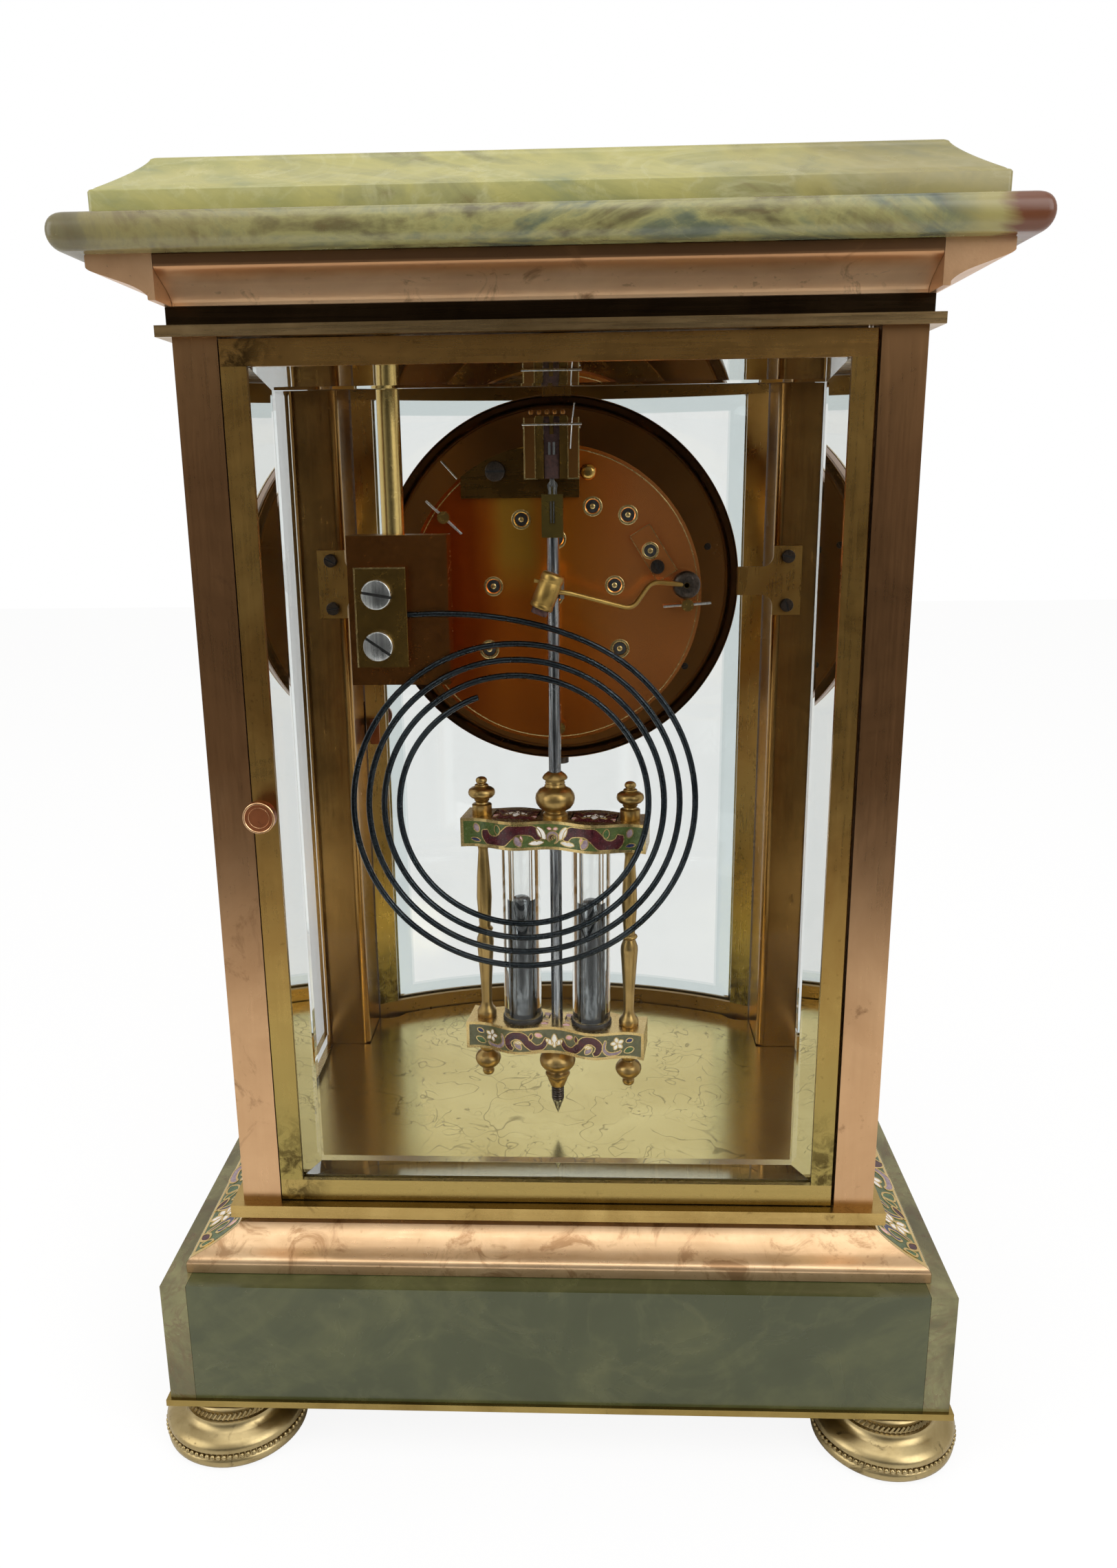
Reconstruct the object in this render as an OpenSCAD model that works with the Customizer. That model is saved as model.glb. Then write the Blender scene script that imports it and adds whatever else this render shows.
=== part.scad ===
// Crystal regulator mantel clock with a bowed front, stone top and base, and a mercury pendulum.
// Millimetres. Z is up, the dial faces -Y, the rear door faces +Y, the feet stand on Z = 0.
// Depths are measured from the rear face of the rear posts towards the dial.

/* [Case] */
// Width over the corner posts
case_w = 198; // [192:1:206]
// Depth from the rear posts to the crown of the bowed front
case_d = 157; // [154:1:162]
// Radius of the bowed front
bow_r = 166; // [160:1:180]
// Height of the corner posts
post_h = 258.2; // [256:0.1:270]
// Width of a rear post
rear_post_w = 12; // [11:0.5:13]
// Depth of a rear post
rear_post_d = 14; // [13:0.5:16]
// Width of a front post
front_post_w = 21.5; // [20:0.5:23]
// Depth of a front post, measured from the crown of the bow
front_post_d = 51.5; // [50:0.5:53]
// Rounding of the inner rear edge of a front post
post_bead_r = 3; // [1.5:0.5:4]
// Thickness of a side glass
side_glass_t = 4; // [3:0.5:5]
// How far a side glass lies inside the outer face of the posts
side_glass_in = 2.5; // [2:0.5:3]
// Depth of the glass grooves in the posts
groove_d = 3; // [2:0.5:4]
// Width of the bevel on the panes
bevel_w = 8; // [4:0.5:10]
// Drop of the bevel on the panes
bevel_drop = 1.6; // [0.6:0.1:2]
// Thickness of the polished floor plate
floor_t = 1.4; // [1:0.1:2]

/* [Base] */
// Height of a foot
foot_h = 17.7; // [15:0.1:22]
// Largest radius of a foot
foot_r = 23.3; // [21:0.1:25]
// Distance of a foot's centre from the middle of the clock
foot_x = 104.8; // [100:0.1:108]
// Distance of a rear foot's centre behind the rear posts
foot_out = 5.1; // [2:0.1:8]
// Depth of a front foot's centre
foot_front = 127; // [120:1:132]
// Radius of a foot's stud
foot_stud_r = 2.5; // [2:0.1:3]
// Thickness of the brass plate under the stone
base_plate_t = 2.2; // [1.8:0.1:3]
// How far the base plate stands out past the stone
base_plate_over = 1.2; // [0.5:0.1:2]
// Height of the stone panels of the base
panel_h = 40.5; // [36:0.5:46]
// Thickness of the stone panels
panel_t = 8; // [7:0.5:9]
// How far the stone base stands out past the posts at the sides
base_over = 22.2; // [21:0.1:24]
// How much less the tiers stand out at the front and the rear than at the sides
setback = 3; // [2:0.1:4]
// Height of the base moulding
base_mould_h = 10.6; // [9:0.1:13]
// How far the foot of the base moulding stands out past the posts
base_mould_over = 15.7; // [15:0.1:17]
// How far the top of the base moulding stands out past the posts
base_mould_top = 1.5; // [0.5:0.1:3]
// Height of the flat band under the base moulding
base_mould_band = 3.3; // [2:0.1:4]
// Height of the recessed neck over the base moulding
neck_h = 3; // [2:0.1:4]
// How far the neck lies inside the posts
neck_in = 1; // [0.5:0.1:2]

/* [Top] */
// How far the lips of the case stand out past the posts
lip_over = 3.4; // [2:0.1:5]
// Thickness of the lower lip
lip_t = 4.2; // [3.5:0.1:5]
// Thickness of the upper lip
top_lip_t = 2.9; // [2.5:0.1:4]
// Height of the plain frieze over the upper lip
frieze_h = 4.7; // [4:0.1:6]
// How far the frieze stands out past the posts
frieze_over = 0.9; // [0.5:0.1:1.5]
// Height of the cornice
cornice_h = 11; // [10:0.1:13]
// How far the cornice stands out past the posts
cornice_over = 16.1; // [14:0.1:18]
// Height of the flat band on top of the cornice
cornice_band = 3.1; // [2:0.1:4]
// Thickness of the stone slab
slab_t = 9; // [8:0.1:11]
// How far the stone slab stands out past the posts
slab_over = 23.2; // [21:0.1:25]
// Height of the stone cap on the slab
cap_h = 16.3; // [14:0.1:20]
// Height of the upright band of the stone cap
cap_band = 6.2; // [5:0.1:7]
// How far the band of the cap stands out past the posts
cap_over = 14.6; // [13:0.1:17]
// How far the flat top of the cap stands out past the posts
cap_top_over = 1.8; // [0:0.1:3]

/* [Doors] */
// Width of the door frames as seen
door_frame_w = 7; // [6:0.5:8]
// Thickness of the door frames
door_t = 7; // [6.5:0.5:8]
// Gap round the doors
door_gap = 0.35; // [0.3:0.05:0.5]
// Thickness of the door panes
pane_t = 3.5; // [3:0.1:4]
// How far a pane enters its frame
pane_in = 2; // [1.5:0.1:2.5]
// Radius of a door pivot pin
hinge_pin_r = 1; // [0.9:0.05:1.1]
// Length of a pivot pin in the case and again in the door
hinge_pin_in = 3.6; // [3:0.1:4]
// Rounding of a door's edge about its pivot
hinge_r = 2.3; // [2:0.1:2.6]
// Distance of a pivot from the outer face of its door
hinge_face = 1.6; // [1.5:0.05:1.8]
// Radius of a door knob
knob_r = 4.6; // [4:0.1:6]
// Height of the door knobs over the floor of the case
knob_up = 128.3; // [100:0.1:160]
// Radius of a knob's shaft
knob_shaft_r = 1.4; // [1.2:0.1:1.6]
// Reach of a latch tongue from its knob's axis
latch_reach = 8; // [7:0.1:9]
// Width of a latch tongue
latch_w = 3.6; // [3:0.1:4]
// Thickness of a latch tongue
latch_t = 1.8; // [1.5:0.1:2]

/* [Movement] */
// Distance of the dial centre under the case top
centre_down = 73.2; // [71:0.1:75]
// Radius of the movement plates
plate_r = 46.8; // [46:0.1:48]
// Thickness of the movement plates
plate_t = 2.2; // [1.8:0.1:2.6]
// Distance from the front posts back to the rear face of the back plate
movement_d = 53.2; // [52:0.1:54.5]
// Room between the plates
plate_gap = 35.8; // [34:0.1:37]
// Radius of a plate pillar
pillar_r = 2.4; // [2:0.1:2.8]
// Radius of the circle on which the pillars stand
pillar_ring = 42.3; // [42:0.1:43]
// Radius of a pillar's tenon
tenon_r = 1.9; // [1.6:0.1:2]
// Radius of a taper pin
taper_pin_r = 0.45; // [0.4:0.05:0.55]
// Length of a taper pin
taper_pin_len = 15; // [12:1:17]
// Outer radius of the ring that carries the movement
ring_r = 64.8; // [63:0.1:66]
// Depth of the ring from back to front
ring_d = 8; // [6:0.1:10]
// Wall of the ring
ring_wall = 3; // [2:0.1:4]
// Thickness of the ring's back
ring_back_t = 2; // [1.5:0.1:3]
// Thickness of the brackets that hold the ring
bracket_t = 2; // [1.5:0.1:2.5]
// Thickness of the dial
dial_t = 1.6; // [1.2:0.1:2.2]
// Inner radius of the bezel
bezel_in_r = 54.5; // [52:0.1:56]
// Height of the bezel in front of the dial
bezel_h = 4; // [3:0.1:6]
// Radius of the heavy arbors
arbor_r = 0.9; // [0.8:0.05:1]
// Radius of the light arbors
fine_arbor_r = 0.6; // [0.5:0.05:0.65]
// Radius of the pivots
pivot_r = 0.5; // [0.4:0.05:0.55]
// Radius of an oil sink
sink_r = 2.8; // [2:0.1:3]
// Radius of a barrel's drum
drum_r = 16; // [14:0.1:16.2]
// Radius of a winding arbor
winding_r = 2.2; // [2:0.1:2.4]
// Length of the minute hand
minute_len = 47; // [40:1:50]
// Length of the hour hand
hour_len = 31; // [26:1:36]
// Minutes past the hour that the hands show at rest
rest_minutes = 8; // [0:1:59]
// Hour that the hands show at rest
rest_hour = 10; // [0:1:11]

/* [Pendulum] */
// Distance of the pendulum rod behind the back plate
pend_gap = 8.3; // [8:0.1:8.6]
// Height of the swinging axis over the dial centre
pend_pivot_up = 34; // [33.5:0.1:34.5]
// Radius of the pendulum rod
rod_r = 1.95; // [1.7:0.05:2.1]
// Height of the pendulum's tip over the lower lip
pend_tip_up = 7; // [6:0.1:9]
// Turn of the bob about its rod
bob_turn = 8; // [0:0.5:9]
// Half the length of a bob plate
bob_half = 30.3; // [29:0.1:32]
// Thickness of a bob plate
bob_plate_t = 9.6; // [8:0.1:11]
// Mean half depth of a bob plate
bob_half_d = 7.6; // [7.2:0.1:8]
// Wave of a bob plate's outline
bob_wave = 1.6; // [0.5:0.1:2]
// Length from the swinging axis to the top of the upper bob plate
bob_top_down = 104.6; // [100:0.1:108]
// Height of the lower bob plate over the pendulum's tip
bob_up = 25.6; // [24:0.1:28]
// Outer radius of a vial
vial_r = 6.4; // [6:0.05:6.6]
// Wall of a vial
vial_wall = 3.4; // [2:0.1:4]
// Distance of a vial from the rod
vial_x = 11.8; // [11:0.1:12.5]
// Seat of the vials in the bob plates
vial_seat = 1.5; // [1:0.1:2.5]
// Share of the vials' free length that the mercury fills
mercury_fill = 0.7; // [0.5:0.05:0.9]
// Distance of a column from the rod
column_x = 24.5; // [24:0.1:25]
// Radius of a column's necks
column_neck_r = 1.7; // [1.5:0.1:2]
// Largest radius of a finial
finial_r = 4.5; // [4:0.1:5]
// Height of a finial
finial_h = 12.5; // [10:0.1:14]
// Radius of the rating nut
nut_r = 6.2; // [5:0.1:7]
// Height of the rating nut
nut_h = 13; // [10:0.1:14]

/* [Gong and hammer] */
// Radius of the gong wire
gong_wire_r = 0.95; // [0.8:0.05:1.1]
// Distance of the gong wire behind the pendulum rod
gong_behind = 18; // [17.5:0.1:18.5]
// Sideways place of the gong's centre
gong_x = 10.5; // [9:0.1:12]
// Height of the gong's centre under the dial centre
gong_down = 62.4; // [61:0.1:64]
// Radius of the outermost loop where it passes the top
gong_r = 55.4; // [54:0.1:57]
// Step of the spiral for each loop
gong_pitch = 4.8; // [4.4:0.1:5]
// Number of loops
gong_turns = 3.93; // [3:0.01:4]
// Width of the gong block
block_w = 30; // [28:0.5:32]
// Height of the gong block
block_h = 44.7; // [42:0.1:46]
// Thickness of the gong block
block_t = 11; // [9:0.5:12]
// Thickness of the clamp plate
clamp_t = 3.8; // [3:0.1:4]
// Width of the clamp plate
clamp_w = 15.4; // [14:0.1:16]
// Height of the clamp plate
clamp_h = 29.6; // [27:0.1:31]
// Radius of the rod that carries the gong block
gong_rod_r = 3.4; // [2.8:0.1:4]
// Radius of the hammer's wire
hammer_wire_r = 0.8; // [0.6:0.05:1]
// Radius of the hammer head
hammer_head = 4.2; // [3.8:0.1:4.6]
// Length of the hammer head
hammer_len = 11; // [9:0.1:12]

/* [Hidden] */
$fn = 48;
// Radial play of a running fit
run_fit = 0.05;
// Radial play of a seated screw, pin or stud
seat_fit = 0.02;
// Play of a pane or a stone in its seat
pane_fit = 0.1;
// Clear gap between pieces that pass each other
clear = 0.3;
// A little more than a face, for clean cuts
over = 1;
copper = [0.66, 0.42, 0.30];
brass = [0.72, 0.58, 0.32];
dark_brass = [0.33, 0.24, 0.13];
onyx = [0.45, 0.47, 0.33];
glass = [0.80, 0.88, 0.85, 0.4];
steel = [0.55, 0.56, 0.58];

// Heights of the stack from the feet up
z_plate = foot_h;
z_panel = z_plate + base_plate_t;
z_mould = z_panel + panel_h;
z_neck = z_mould + base_mould_h;
z_lip = z_neck + neck_h;
z_floor = z_lip + lip_t;
z_top = z_floor + post_h;
z_frieze = z_top + top_lip_t;
z_cornice = z_frieze + frieze_h;
z_slab = z_cornice + cornice_h;
z_cap = z_slab + slab_t;
z_dial = z_top - centre_down;
z_pend = z_dial + pend_pivot_up;
pend_len = z_pend - z_floor - pend_tip_up;
front_post_back = case_d - front_post_d;
back_plate_at = front_post_back - movement_d;
pend_at = back_plate_at - pend_gap;
gong_at = pend_at - gong_behind;
z_knob = z_floor + knob_up;

// Places in plan: the box of the whole clock is centred on the origin
half_w = case_w / 2;
rear_reach = foot_out + foot_r;
front_reach = max(slab_over, base_over + base_plate_over) - setback;
rear_y = (case_d + front_reach - rear_reach) / 2;
bow_cy = rear_y + bow_r - case_d;
base_rear = base_over - setback;
front_r_in = bow_r - door_t;
glass_x = half_w - side_glass_in - side_glass_t;

// Doors
rear_door_half = half_w - rear_post_w - door_gap;
front_door_half = half_w - front_post_w - door_gap;
door_z0 = z_floor + door_gap;
door_z1 = z_top - door_gap;
rear_hinge = [-rear_door_half + hinge_r, rear_y - hinge_face];
front_hinge_x = -front_door_half + hinge_r;
front_hinge = [front_hinge_x, bow_cy - sqrt(pow(bow_r - hinge_face, 2) - pow(front_hinge_x, 2))];
rear_knob_x = rear_door_half - door_frame_w / 2;
front_knob_x = front_door_half - door_frame_w / 2;
latch_gap = 0.4;
rear_latch_at = door_t + latch_gap;
front_inner_at = depth_of(bow_cy - sqrt(pow(front_r_in, 2) - pow(front_door_half, 2)));
front_latch_at = front_inner_at - latch_gap - latch_t;
front_sweep = norm([hinge_r, depth_of(front_hinge.y) - front_inner_at]) + 2 * clear;

// Movement: places of the arbors as seen from the dial, and counts of teeth
centre_p = [0, 0];
going_p = [21, -17];
intermediate_p = [19.3, 3.2];
third_p = [-0.9, 17.8];
escape_p = [10.1, 23.9];
anchor_p = [0, pend_pivot_up];
strike_p = [-21, -17];
second_p = [-19.3, 3.2];
pin_p = [-30.4, 14];
strike_third_p = [-23.4, 25];
fly_p = [-12.3, 27.7];
hammer_p = [-41.5, 3.6];
minute_p = [0, 11];
great_z = 70;
great_pinion_z = 10;
intermediate_z = 60;
centre_pinion_z = 10;
centre_z = 84;
third_pinion_z = 6;
third_z = 66;
escape_pinion_z = 6;
escape_z = 30;
second_z = 48;
pin_pinion_z = 6;
pin_z = 56;
strike_third_pinion_z = 8;
strike_third_z = 60;
fly_pinion_z = 6;
cannon_z = 12;
minute_z = 36;
minute_pinion_z = 10;
hour_z = 40;
escape_r = 9;
// Layers between the plates, measured from the inner face of the back plate
w_inner = back_plate_at + plate_t;
w_centre = [3.2, 4.6];
w_strike_third = [4.4, 5.6];
w_intermediate = [7.6, 9];
w_third = [10.6, 11.8];
w_great = [12.6, 14.8];
w_escape = [15, 16.2];
w_fly = [18, 30];
mesh_over = 0.8;
end_shake = 0.2;
front_plate_at = w_inner + plate_gap;
front_face_at = front_plate_at + plate_t;
dial_at = front_post_back + ring_d;
cannon_at = front_face_at + 1.2;
hour_wheel_at = cannon_at + 4.4;
motion_t = 2.2;
cannon_r = 1.7;
pipe_r = 2.6;
hour_hand_at = dial_at + dial_t + 1.6;
minute_hand_at = hour_hand_at + 2.2;
hand_t = 1;
pillar_angles = [36, 349, 268, 184];
taper_turns = [47, 60, 0, 94];
dial_pillar_angles = [60, 120, 240, 300];
tenon_out = 4;

// Gong: the block hangs from the case top, the wire leaves the side of its clamp plate
clamp_at = gong_at + gong_wire_r + clear - clamp_t;
block_at = clamp_at + clamp_t;
block_x = [31, 31 + block_w];
block_z = [z_dial - 24.2, z_dial - 24.2 + block_h];
clamp_x = [43, 43 + clamp_w];
clamp_z = [z_dial - 18.2, z_dial - 18.2 + clamp_h];
gong_screw_x = 51.5;
gong_screw_z = [z_dial + 3.6, z_dial - 11.6];
gong_rod_x = 47.5;
gong_rod_at = block_at + block_t / 2;
gong_c = [gong_x, z_dial - gong_down];
lead_z = z_dial - 2.8;
gong_rings = 36;
gong_sides = 8;

// Fasteners
screw_r = 1.5;
screw_head_r = 2.8;
screw_head_h = 2.4;
screw_in = 12;
bracket_screw_r = 1.2;
bracket_screw_head_r = 2.2;
bracket_x = half_w - front_post_w + 4.6;
bracket_half_h = 12.2;
bracket_screw_dz = 8.6;
bolt_r = 2;
bolt_head_r = 4;
bolt_head_h = 3;
bolt_x = half_w - 19;
bolt_depths = [25, front_post_back - 0.5];
top_nut_r = 6.5;
top_nut_x = half_w - front_post_w - top_nut_r - 3;
top_nut_at = front_post_back + 12.5;
top_nut_h = 3.5;

function depth_of(y) = rear_y - y;
function y_at(depth) = rear_y - depth;
function front_y(x, r) = bow_cy - sqrt(r * r - x * x);
function mirror_list(v) = [for (i = [len(v) - 1 : -1 : 0]) v[i]];

// Faces of a skin over rings of equal length, closed by an end face that its first point sees all of
function ring_faces(rings, n) = concat(
    [for (k = [0 : rings - 2]) for (i = [0 : n - 1])
        let (a = k * n + i, b = k * n + (i + 1) % n)
        each [[a, b, b + n], [a, b + n, a + n]]],
    [[for (i = [0 : n - 1]) (n - i) % n]],
    [[for (i = [0 : n - 1]) (rings - 1) * n + i]]);

module skin(rings) {
    n = len(rings[0]);
    polyhedron([for (r = rings) each r], ring_faces(len(rings), n), convexity = 8);
}

// Outline of the clock in plan, out by o from the posts, at height z
bow_steps = 14;
function plan_ring(o, z) =
    let (a = half_w + o, y = rear_y + o - setback, r = bow_r + o - setback)
    concat([[-a, y, z], [a, y, z]],
        [for (i = [0 : bow_steps]) let (x = a * (1 - 2 * i / bow_steps)) [x, front_y(x, r), z]]);

// A tier with the clock's outline: the profile gives [out, height] from its foot up
module tier(profile) skin([for (p = profile) plan_ring(p.x, p.y)]);

// How far the rear length of a moulding stands out behind the posts where its side lengths stand out by o
function rear_out(o, most) = o * (1 - setback / most);
function widest(profile) = max([for (p = profile) p.x]);

// A moulding along the sides and the front; its rear ends are mitred, or cut flush with its widest line
module side_moulding(profile, mitred) {
    most = widest(profile);
    function end_ring(s) = [for (p = profile)
        [s * (half_w + p.x), rear_y + rear_out(mitred ? p.x : most, most), p.y]];
    function front_ring(t) = [for (p = profile)
        let (x = t * (half_w + p.x)) [x, front_y(x, bow_r + p.x - setback), p.y]];
    skin(concat([end_ring(-1)],
        [for (i = [0 : bow_steps]) front_ring(-1 + 2 * i / bow_steps)], [end_ring(1)]));
}

// The straight moulding at the rear, mitred or let in square between the side mouldings
module rear_moulding(profile, mitred) {
    inner = min([for (p = profile) p.x]);
    skin([for (s = [1, -1]) [for (p = profile)
        [s * (half_w + (mitred ? p.x : inner) - pane_fit), rear_y + rear_out(p.x, widest(profile)), p.y]]]);
}

// A plate with the clock's outline: out by side, rear and front past the posts
module bow_plate(side, rear, front, z0, z1)
    intersection() {
        y0 = bow_cy - bow_r - front - over;
        translate([-half_w - side, y0, z0]) cube([2 * (half_w + side), rear_y + rear - y0, z1 - z0]);
        translate([0, bow_cy, z0 - over]) cylinder(r = bow_r + front, h = z1 - z0 + 2 * over, $fn = 180);
    }

// A bevelled pane lying flat, its bevelled face up
module pane(w, h, t) {
    function frame(d, z) = [[d, d, z], [d, h - d, z], [w - d, h - d, z], [w - d, d, z]];
    skin([frame(0, 0), frame(0, t - bevel_drop), frame(bevel_w, t)]);
}

// A box from corner to corner, with its depth counted from the rear posts
module depth_box(x, depth, z)
    translate([x[0], y_at(depth[1]), z[0]]) cube([x[1] - x[0], depth[1] - depth[0], z[1] - z[0]]);

// A round bar along the depth; p is its place from the dial centre
module bar_y(p, d0, d1, r) translate([p.x, y_at(d0), z_dial + p.y]) rotate([90, 0, 0])
    cylinder(r = r, h = d1 - d0);

// A flat outline, given as seen from the dial, between two depths
module flat_y(p, d0, d1)
    translate([p.x, y_at(d0), z_dial + p.y]) rotate([90, 0, 0]) linear_extrude(d1 - d0) children();

// A round bar between two points
module bar(a, b, r) {
    v = b - a;
    translate(a) rotate([0, acos(v.z / norm(v)), atan2(v.y, v.x)]) cylinder(r = r, h = norm(v));
}

// A plain screw along the depth, its head towards the rear
module screw_y(p, face, length, r, head_r, head_h) {
    bar_y(p, face - head_h, face, head_r);
    bar_y(p, face - over / 2, face + length, r);
}

// Cove and ogee profiles as [out, height]
cove_steps = 7;
cornice_fillet = 1;
cornice_cove = 1.3;
cornice_profile = concat([[-neck_in, z_slab], [-neck_in, z_cornice], [frieze_over, z_cornice]],
    [for (i = [0 : cove_steps]) let (u = i / cove_steps)
        [frieze_over + (cornice_over - frieze_over) * pow(u, cornice_cove),
         z_cornice + cornice_fillet + (cornice_h - cornice_band - cornice_fillet) * u]],
    [[cornice_over, z_slab]]);
mould_in = 4;
ogee_swing = -0.05;
base_profile = concat([[-mould_in, z_mould], [base_mould_over, z_mould]],
    [for (i = [0 : cove_steps]) let (u = i / cove_steps)
        [base_mould_over + (base_mould_top - base_mould_over) * (u + ogee_swing * sin(360 * u)),
         z_mould + base_mould_band + (base_mould_h - base_mould_band) * u]],
    [[-mould_in, z_neck]]);
slab_round = slab_t / 2;
slab_profile = [for (i = [0 : 8]) let (u = -90 + 180 * i / 8)
    [slab_over - slab_round * 0.7 * (1 - cos(u)), z_slab + slab_round * (1 + sin(u))]];
cap_step = 1.4;
cap_cove = 1.25;
cap_profile = concat([[cap_over, z_cap], [cap_over, z_cap + cap_band]],
    [for (i = [0 : cove_steps]) let (u = i / cove_steps)
        [cap_over - cap_step + (cap_top_over - cap_over + cap_step) * (1 - pow(1 - u, cap_cove)),
         z_cap + cap_band + cap_step / 2 + (cap_h - cap_band - cap_step / 2) * u]]);

// Base
foot_places = [for (s = [-1, 1]) each [[s * foot_x, y_at(-foot_out)], [s * foot_x, y_at(foot_front)]]];
foot_neck_r = foot_r * 0.62;
module feet()
    color(brass)
    for (p = foot_places)
        translate([p.x, p.y, 0]) {
            rotate_extrude()
                polygon(concat(
                    [[0, 0], [foot_r - 3, 0], [foot_r - 1.2, 0.8], [foot_r - 0.4, 3], [foot_r, 6.4],
                        [foot_r - 0.4, 8.4]],
                    [for (i = [0 : 6]) let (u = 90 * i / 6)
                        [foot_neck_r + 1.4 + (foot_r - foot_neck_r - 2.2) * (1 - sin(u)),
                            8.6 + 3.4 * (1 - cos(u))]],
                    [[foot_neck_r + 1, foot_h - 5], [foot_neck_r + 1.6, foot_h - 3.6],
                        [foot_neck_r + 1, foot_h - 2.2],
                     [foot_neck_r, foot_h - 2], [foot_neck_r, foot_h], [0, foot_h]]));
            cylinder(r = foot_stud_r, h = foot_h + base_plate_t + 4);
        }

module base_plate()
    color(brass)
    difference() {
        bow_plate(base_over + base_plate_over, base_rear + base_plate_over, base_rear + base_plate_over,
            z_plate, z_panel);
        for (p = foot_places)
            translate([p.x, p.y, z_plate - over])
                cylinder(r = foot_stud_r + seat_fit, h = base_plate_t + 2 * over);
        bolt_bores(z_plate - over, z_panel + over);
    }

module bolt_bores(z0, z1)
    for (s = [-1, 1]) for (d = bolt_depths)
        translate([s * bolt_x, y_at(d), z0]) cylinder(r = bolt_r + run_fit, h = z1 - z0);

panel_in = half_w + base_over - panel_t;
module base_panel_rear()
    color(onyx) depth_box([-panel_in + pane_fit, panel_in - pane_fit], [-base_rear,
        panel_t - base_rear], [z_panel, z_mould]);

module base_panel_sides()
    color(onyx)
    for (s = [0, 1]) mirror([s, 0, 0])
        intersection() {
            bow_plate(base_over, base_rear, base_rear, z_panel, z_mould);
            depth_box([panel_in, panel_in + panel_t + over], [-base_rear - over, case_d],
                [z_panel - over, z_mould + over]);
        }

module base_panel_front()
    color(onyx)
    intersection() {
        difference() {
            translate([0, bow_cy, z_panel]) cylinder(r = bow_r + base_rear, h = panel_h, $fn = 180);
            translate([0, bow_cy, z_panel - over])
                cylinder(r = bow_r + base_rear - panel_t, h = panel_h + 2 * over, $fn = 180);
        }
        depth_box([-panel_in + pane_fit, panel_in - pane_fit], [case_d / 2, case_d + base_over],
            [z_panel - over, z_mould + over]);
    }

module base_moulding() color(copper) side_moulding(base_profile, true);
module base_moulding_rear() color(copper) rear_moulding(base_profile, true);

// Case
post_places = [[half_w - rear_post_w / 2, rear_post_d / 2 - 1], [half_w - front_post_w / 2,
    front_post_back + 7]];
module post_bores(z0, z1, r)
    for (s = [-1, 1]) for (p = post_places)
        translate([s * p.x, y_at(p.y), z0]) cylinder(r = r, h = z1 - z0);

module door_pin_bores(z0, z1, fit)
    for (p = [rear_hinge, front_hinge])
        translate([p.x, p.y, z0]) cylinder(r = hinge_pin_r + fit, h = z1 - z0);

module case_bottom_frame()
    color(brass)
    difference() {
        union() {
            bow_plate(lip_over, lip_over, lip_over, z_lip, z_floor);
            bow_plate(-neck_in, -neck_in, -neck_in, z_neck, z_lip + over);
        }
        post_bores(z_neck - over, z_floor + over, screw_r + run_fit);
        post_bores(z_neck - over, z_neck + screw_head_h, screw_head_r + run_fit);
        door_pin_bores(z_floor - hinge_pin_in, z_floor + over, seat_fit);
        bolt_bores(z_neck - over, z_lip);
    }

module floor_plate()
    color(brass)
    difference() {
        intersection() {
            depth_box([-glass_x + clear, glass_x - clear], [door_t + clear + latch_gap, case_d],
                [z_floor, z_floor + floor_t]);
            translate([0, bow_cy, z_floor - over])
                cylinder(r = front_r_in - clear - latch_gap, h = floor_t + 2 * over, $fn = 180);
        }
        for (s = [0, 1]) mirror([s, 0, 0]) {
            depth_box([half_w - rear_post_w - clear, half_w], [0, rear_post_d + clear],
                [z_floor - over, z_floor + over + floor_t]);
            depth_box([half_w - front_post_w - clear, half_w], [front_post_back - clear, case_d],
                [z_floor - over, z_floor + over + floor_t]);
            translate([front_hinge.x, front_hinge.y, z_floor - over])
                cylinder(r = front_sweep, h = floor_t + 2 * over);
        }
    }

module latch_slot(x, at)
    depth_box([x - over, x + latch_reach - door_frame_w / 2 - door_gap + clear + over / 2],
        [at - clear, at + latch_t + clear], [z_knob - latch_reach - over, z_knob + latch_reach + over]);

module glass_groove(d0, d1)
    depth_box([glass_x - pane_fit, glass_x + side_glass_t + pane_fit], [d0, d1], [z_floor - over,
        z_top + over]);

module rear_posts()
    color(copper)
    difference() {
        for (s = [0, 1]) mirror([s, 0, 0])
            difference() {
                depth_box([half_w - rear_post_w, half_w], [0, rear_post_d], [z_floor, z_top]);
                glass_groove(rear_post_d - groove_d, rear_post_d + over);
            }
        latch_slot(half_w - rear_post_w, rear_latch_at);
        post_bores(z_floor - over, z_floor + screw_in, screw_r + seat_fit);
        post_bores(z_top - screw_in, z_top + over, screw_r + seat_fit);
    }

module front_posts()
    color(brass)
    difference() {
        for (s = [0, 1]) mirror([s, 0, 0])
            intersection() {
                bow_plate(0, 0, 0, z_floor, z_top);
                difference() {
                    x0 = half_w - front_post_w;
                    union() {
                        depth_box([x0 + post_bead_r, half_w + over], [front_post_back, case_d],
                            [z_floor, z_top]);
                        depth_box([x0, half_w], [front_post_back + post_bead_r, case_d], [z_floor, z_top]);
                        translate([x0 + post_bead_r, y_at(front_post_back + post_bead_r), z_floor])
                            cylinder(r = post_bead_r, h = post_h);
                    }
                    glass_groove(front_post_back - over, front_post_back + groove_d);
                    for (dz = [-1, 1])
                        bar_y([bracket_x, dz * bracket_screw_dz], front_post_back - over,
                            front_post_back + 8,
                            bracket_screw_r + seat_fit);
                }
            }
        latch_slot(half_w - front_post_w, front_latch_at);
        post_bores(z_floor - over, z_floor + screw_in, screw_r + seat_fit);
        post_bores(z_top - screw_in, z_top + over, screw_r + seat_fit);
    }

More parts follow.
